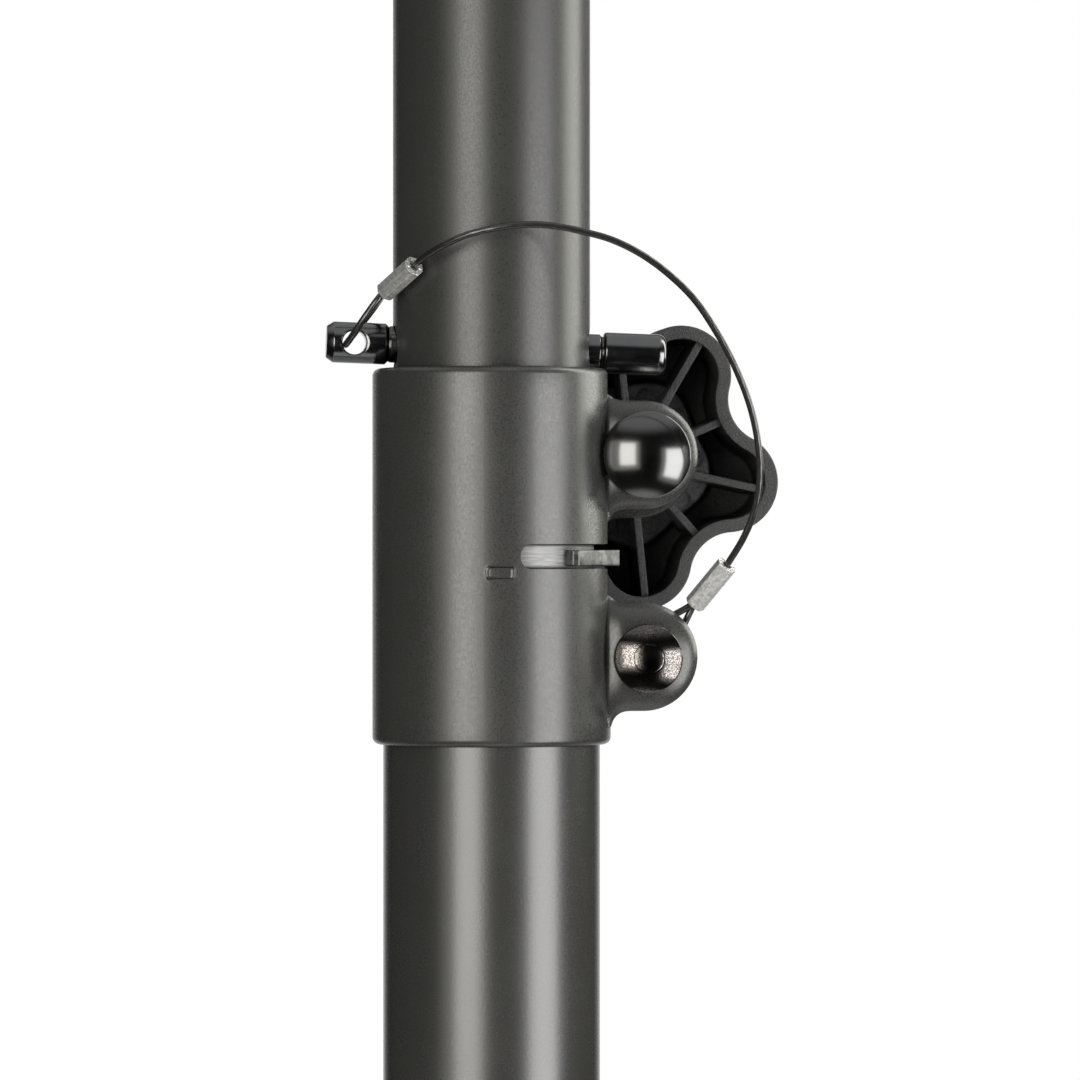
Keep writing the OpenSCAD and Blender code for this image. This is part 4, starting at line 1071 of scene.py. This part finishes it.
def spider_grip():
    """Round grip with six finger hollows: the outline's radius dips by a power of a cosine, carried through a rolled
    profile."""
    angle = np.linspace(0, 2 * math.pi, 180, endpoint=False)
    hollow = 3.0 * (0.5 + 0.5 * np.cos(6 * angle)) ** 3
    profile = softened_path([(0.0, -16.0, 0), (0.55, -16.0, 0.05), (1.0, -15.4, 0.08), (1.0, -3.2, 0.06),
                             (0.86, -2.0, 0.1), (0.44, -2.0, 0.04), (0.42, -0.02, 0.03), (0.0, -0.02, 0)], 7)
    share, depth = profile[:, :1], profile[:, 1:]
    radius = share * (SPIDER_KNOB_R - hollow[None, :] * np.clip(share, 0, 1) ** 2)
    y = -SPIDER_KNOB_Y + depth + 0 * radius + 0.9 * (1 - np.clip(share / 0.5, 0, 1)) * (depth < -15.9)
    points = np.stack([radius * np.cos(angle), y, SPIDER_Z + SPIDER_KNOB_UP + radius * np.sin(angle)], -1)
    return points.reshape(-1, 3), grid(len(profile), len(angle)), RIM_NYLON


piece("scalloped_spider_knob", "spider_knob", [spider_grip()], ["spider_knob"], crease=45)

# ---------------------------------------------------------------- feet


def foot_shell(leg):
    """A rubber foot: ball, ribbed sleeve and lip turned round the leg's axis, pressed flat where it meets the floor."""
    turn = math.radians(90 + 120 * (leg - 1))
    tilt = math.radians(LEG_ANGLE)
    out = np.array([math.cos(turn), math.sin(turn), 0.0])
    down = math.sin(tilt) * out - math.cos(tilt) * np.array([0, 0, 1.0])
    pivot = PIVOT_R * out + np.array([0, 0, SPIDER_Z])
    t = np.radians(np.linspace(0, 82, 26))
    ball = np.column_stack([FOOT_R * np.sin(t), LEG_LEN + FOOT_R * np.cos(t)])
    sleeve_top = LEG_LEN - FOOT_LEN
    height = np.linspace(LEG_LEN - 2.0, sleeve_top + 4, 120)
    rib_wave = np.clip(np.sin((height - sleeve_top) * 2 * math.pi / 5.0), -0.2, 0)
    fade = np.clip((height - sleeve_top - 6) / 3, 0, 1) * np.clip((LEG_LEN - 8 - height) / 4, 0, 1)
    sleeve = np.column_stack([FOOT_R - 0.35 * fade + 0.7 * rib_wave * fade, height])
    lip = softened_path([(FOOT_R, sleeve_top + 3.9, 0), (FOOT_R, sleeve_top, 1.2), (LEG_R + 0.05, sleeve_top, 0.6),
                         (LEG_R + 0.05, sleeve_top + 6, 0), (0, sleeve_top + 6, 0)], 6)
    points, quads, finish = turned(np.concatenate([ball, sleeve, lip]), pivot, down, RUBBER, 72)
    points[:, 2] = np.maximum(points[:, 2], 0)
    return points, quads, finish


for leg in (1, 2, 3):
    piece(f"ribbed_foot_{leg}", f"leg_{leg}", [foot_shell(leg)], [f"foot_{leg}"], crease=50)

# ---------------------------------------------------------------- castings, caps and braces with eased edges

EASED_ANGLE = 32.0


def eased_copy(name, node, width):
    """A CAD node's own mesh, merged and given rounded edges of that width in millimetres."""
    source = NODES[node]
    mesh = source.data.copy()
    mesh.name = name
    obj = placed(name, mesh)
    work = bmesh.new()
    work.from_mesh(mesh)
    bmesh.ops.remove_doubles(work, verts=work.verts, dist=2e-6)
    bmesh.ops.dissolve_limit(work, angle_limit=math.radians(1.0), verts=work.verts, edges=work.edges)
    work.to_mesh(mesh)
    work.free()
    mesh.polygons.foreach_set("use_smooth", np.ones(len(mesh.polygons), bool))
    mesh.set_sharp_from_angle(angle=math.radians(EASED_ANGLE))
    rounded_edges(obj, width, 3, EASED_ANGLE, harden=True)
    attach(obj, source["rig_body"])
    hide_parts(node)


eased_copy("cast_hub", "bottom_hub", 0.8)
eased_copy("cast_spider", "leg_spider", 0.8)
eased_copy("top_cap", "top_plug", 0.7)
eased_copy("tube_foot_cap", "tube_end_plug", 0.8)
for leg in (1, 2, 3):
    eased_copy(f"flat_brace_{leg}", f"brace_{leg}", 0.5)
    eased_copy(f"leg_head_{leg}", f"leg_top_{leg}", 0.7)

# ---------------------------------------------------------------- floor, light and world

# The white backdrop starts and is full at these cosines of the angle from AWAY
BACKDROP = (0.84, 0.96)
# White that the camera sees in the paper near the column, and the distances from its axis over which the paper turns
# white for the camera, dark for gloss and white for everything
PAPER_WHITE, CAMERA_WHITE, GLOSS_DARK, ALL_WHITE = 0.42, (500.0, 2600.0), (420.0, 700.0), (900.0, 3200.0)
WHITE = (1, 1, 1, 1)


def floor_finish():
    """Pale paper that takes the object's shadow near it and turns to the white backdrop further out."""
    f = Finish("paper_floor")
    x, y, _ = f.parts(f.place())
    radius = f.math("SQRT", x * x + y * y)
    far = PAPER_WHITE + f.step(radius, *CAMERA_WHITE) * (1 - PAPER_WHITE)
    toward = (x * float(AWAY[0]) + y * float(AWAY[1])) / (radius + 1.0)
    camera, glossy, through = (f.ray(kind) for kind in ("Camera", "Glossy", "Transmission"))
    fibre = f.noise(1.2, 3.0, 0.6)
    colour = f.blend(fibre, (0.80, 0.80, 0.80), (0.84, 0.84, 0.84))
    room = glossy * f.step(radius, *GLOSS_DARK) * (1.0 - f.step(toward, 0.3, 0.9))
    colour = f.blend(room, colour, (0.03, 0.03, 0.03))
    paper = f.node("ShaderNodeBsdfPrincipled", {}, {"Base Color": colour, "Roughness": 0.9, "Specular IOR Level": 0.1})
    shown = f.math("MAXIMUM", camera, f.math("MAXIMUM", glossy, through) * f.step(toward, *BACKDROP))
    white = f.node("ShaderNodeEmission", {}, {"Color": WHITE, "Strength": shown})
    share = f.math("MAXIMUM", far * camera, f.step(radius, *ALL_WHITE))
    mixed = f.node("ShaderNodeMixShader", {}, {0: share, 1: paper, 2: white})
    f.node("ShaderNodeOutputMaterial", {}, {"Surface": mixed})
    return f.material


def floor_disc():
    """The studio floor: rings of a circle that widen outward."""
    angle = np.linspace(0, 2 * math.pi, 64, endpoint=False)
    radius = np.concatenate([[0], np.geomspace(0.3, 70, 14)])[:, None]
    points = polar(radius, angle, -0.0003).reshape(-1, 3)
    kept, fours, threes, _ = weld(points / MM, grid(len(radius), len(angle)))
    mesh = bpy.data.meshes.new("floor")
    mesh.from_pydata((kept * MM).tolist(), [], fours + threes)
    mesh.materials.append(floor_finish())
    obj = placed("floor", mesh)


def softbox(name, azimuth, distance, height, width, tall, radiance, tint):
    """A rectangular lamp that faces the column's axis. azimuth turns from the camera's side toward the right of its
    view; radiance is its face's own."""
    data = bpy.data.lights.new(name, "AREA")
    data.shape = "RECTANGLE"
    data.size, data.size_y = width, tall
    data.energy = radiance * math.pi * width * tall
    data.color = tint
    turn = math.radians(azimuth)
    outward = RIGHT * math.sin(turn) - AWAY * math.cos(turn)
    lamp = placed(name, data)
    lamp.location = outward * distance + np.array([0, 0, height])
    lamp.rotation_euler = Vector(-outward).to_track_quat("-Z", "Y").to_euler()
    lamp.visible_camera = False


def studio_world():
    """White behind the object for the camera and for gloss, a dark room toward the camera, a dim fill for the rest."""
    world = bpy.data.worlds.new("studio")
    bpy.context.scene.world = world
    f = Finish("studio", world)
    direction = f.node("ShaderNodeTexCoord", output="Generated")
    backdrop = f.step(f.vector("DOT_PRODUCT", direction, tuple(AWAY), "Value"), *BACKDROP)
    camera, glossy = f.ray("Camera"), f.math("MAXIMUM", f.ray("Glossy"), f.ray("Transmission"))
    ceiling = f.step(f.parts(direction)[2], 0.52, 0.8)
    # Gloss sees a nearly black room, the backdrop and a grey ceiling, all else an even dim fill
    seen = glossy * (0.02 + backdrop * 0.98 + ceiling * 0.6) + (1.0 - glossy) * (0.32 + ceiling * 0.25)
    strength = camera + (1.0 - camera) * seen
    sky = f.node("ShaderNodeBackground", {}, {"Color": WHITE, "Strength": strength})
    f.node("ShaderNodeOutputWorld", {}, {"Surface": sky})


floor_disc()
studio_world()
WARM, COOL, PALE = (1.0, 0.99, 0.94), (1.0, 0.995, 0.98), (1.0, 1.0, 0.93)
softbox("left_softbox", -24.5, 1.3, 1.03, 0.62, 0.85, 4.0, WARM)
softbox("left_softbox_edge", -25, 1.31, 1.02, 0.76, 0.97, 0.7, WARM)
softbox("left_softbox_spill", -29, 1.32, 0.984, 1.25, 1.2, 0.8, WARM)
softbox("right_softbox", 57, 0.85, 0.78, 0.48, 0.68, 4.7, COOL)
softbox("right_softbox_edge", 57, 0.86, 0.77, 0.58, 0.77, 0.6, COOL)
softbox("right_softbox_spill", 57, 0.87, 0.70, 0.80, 0.95, 0.6, COOL)
softbox("right_strip", 108, 0.32, 1.21, 0.17, 0.5, 4.8, PALE)
bpy.context.scene.view_settings.view_transform = "Standard"
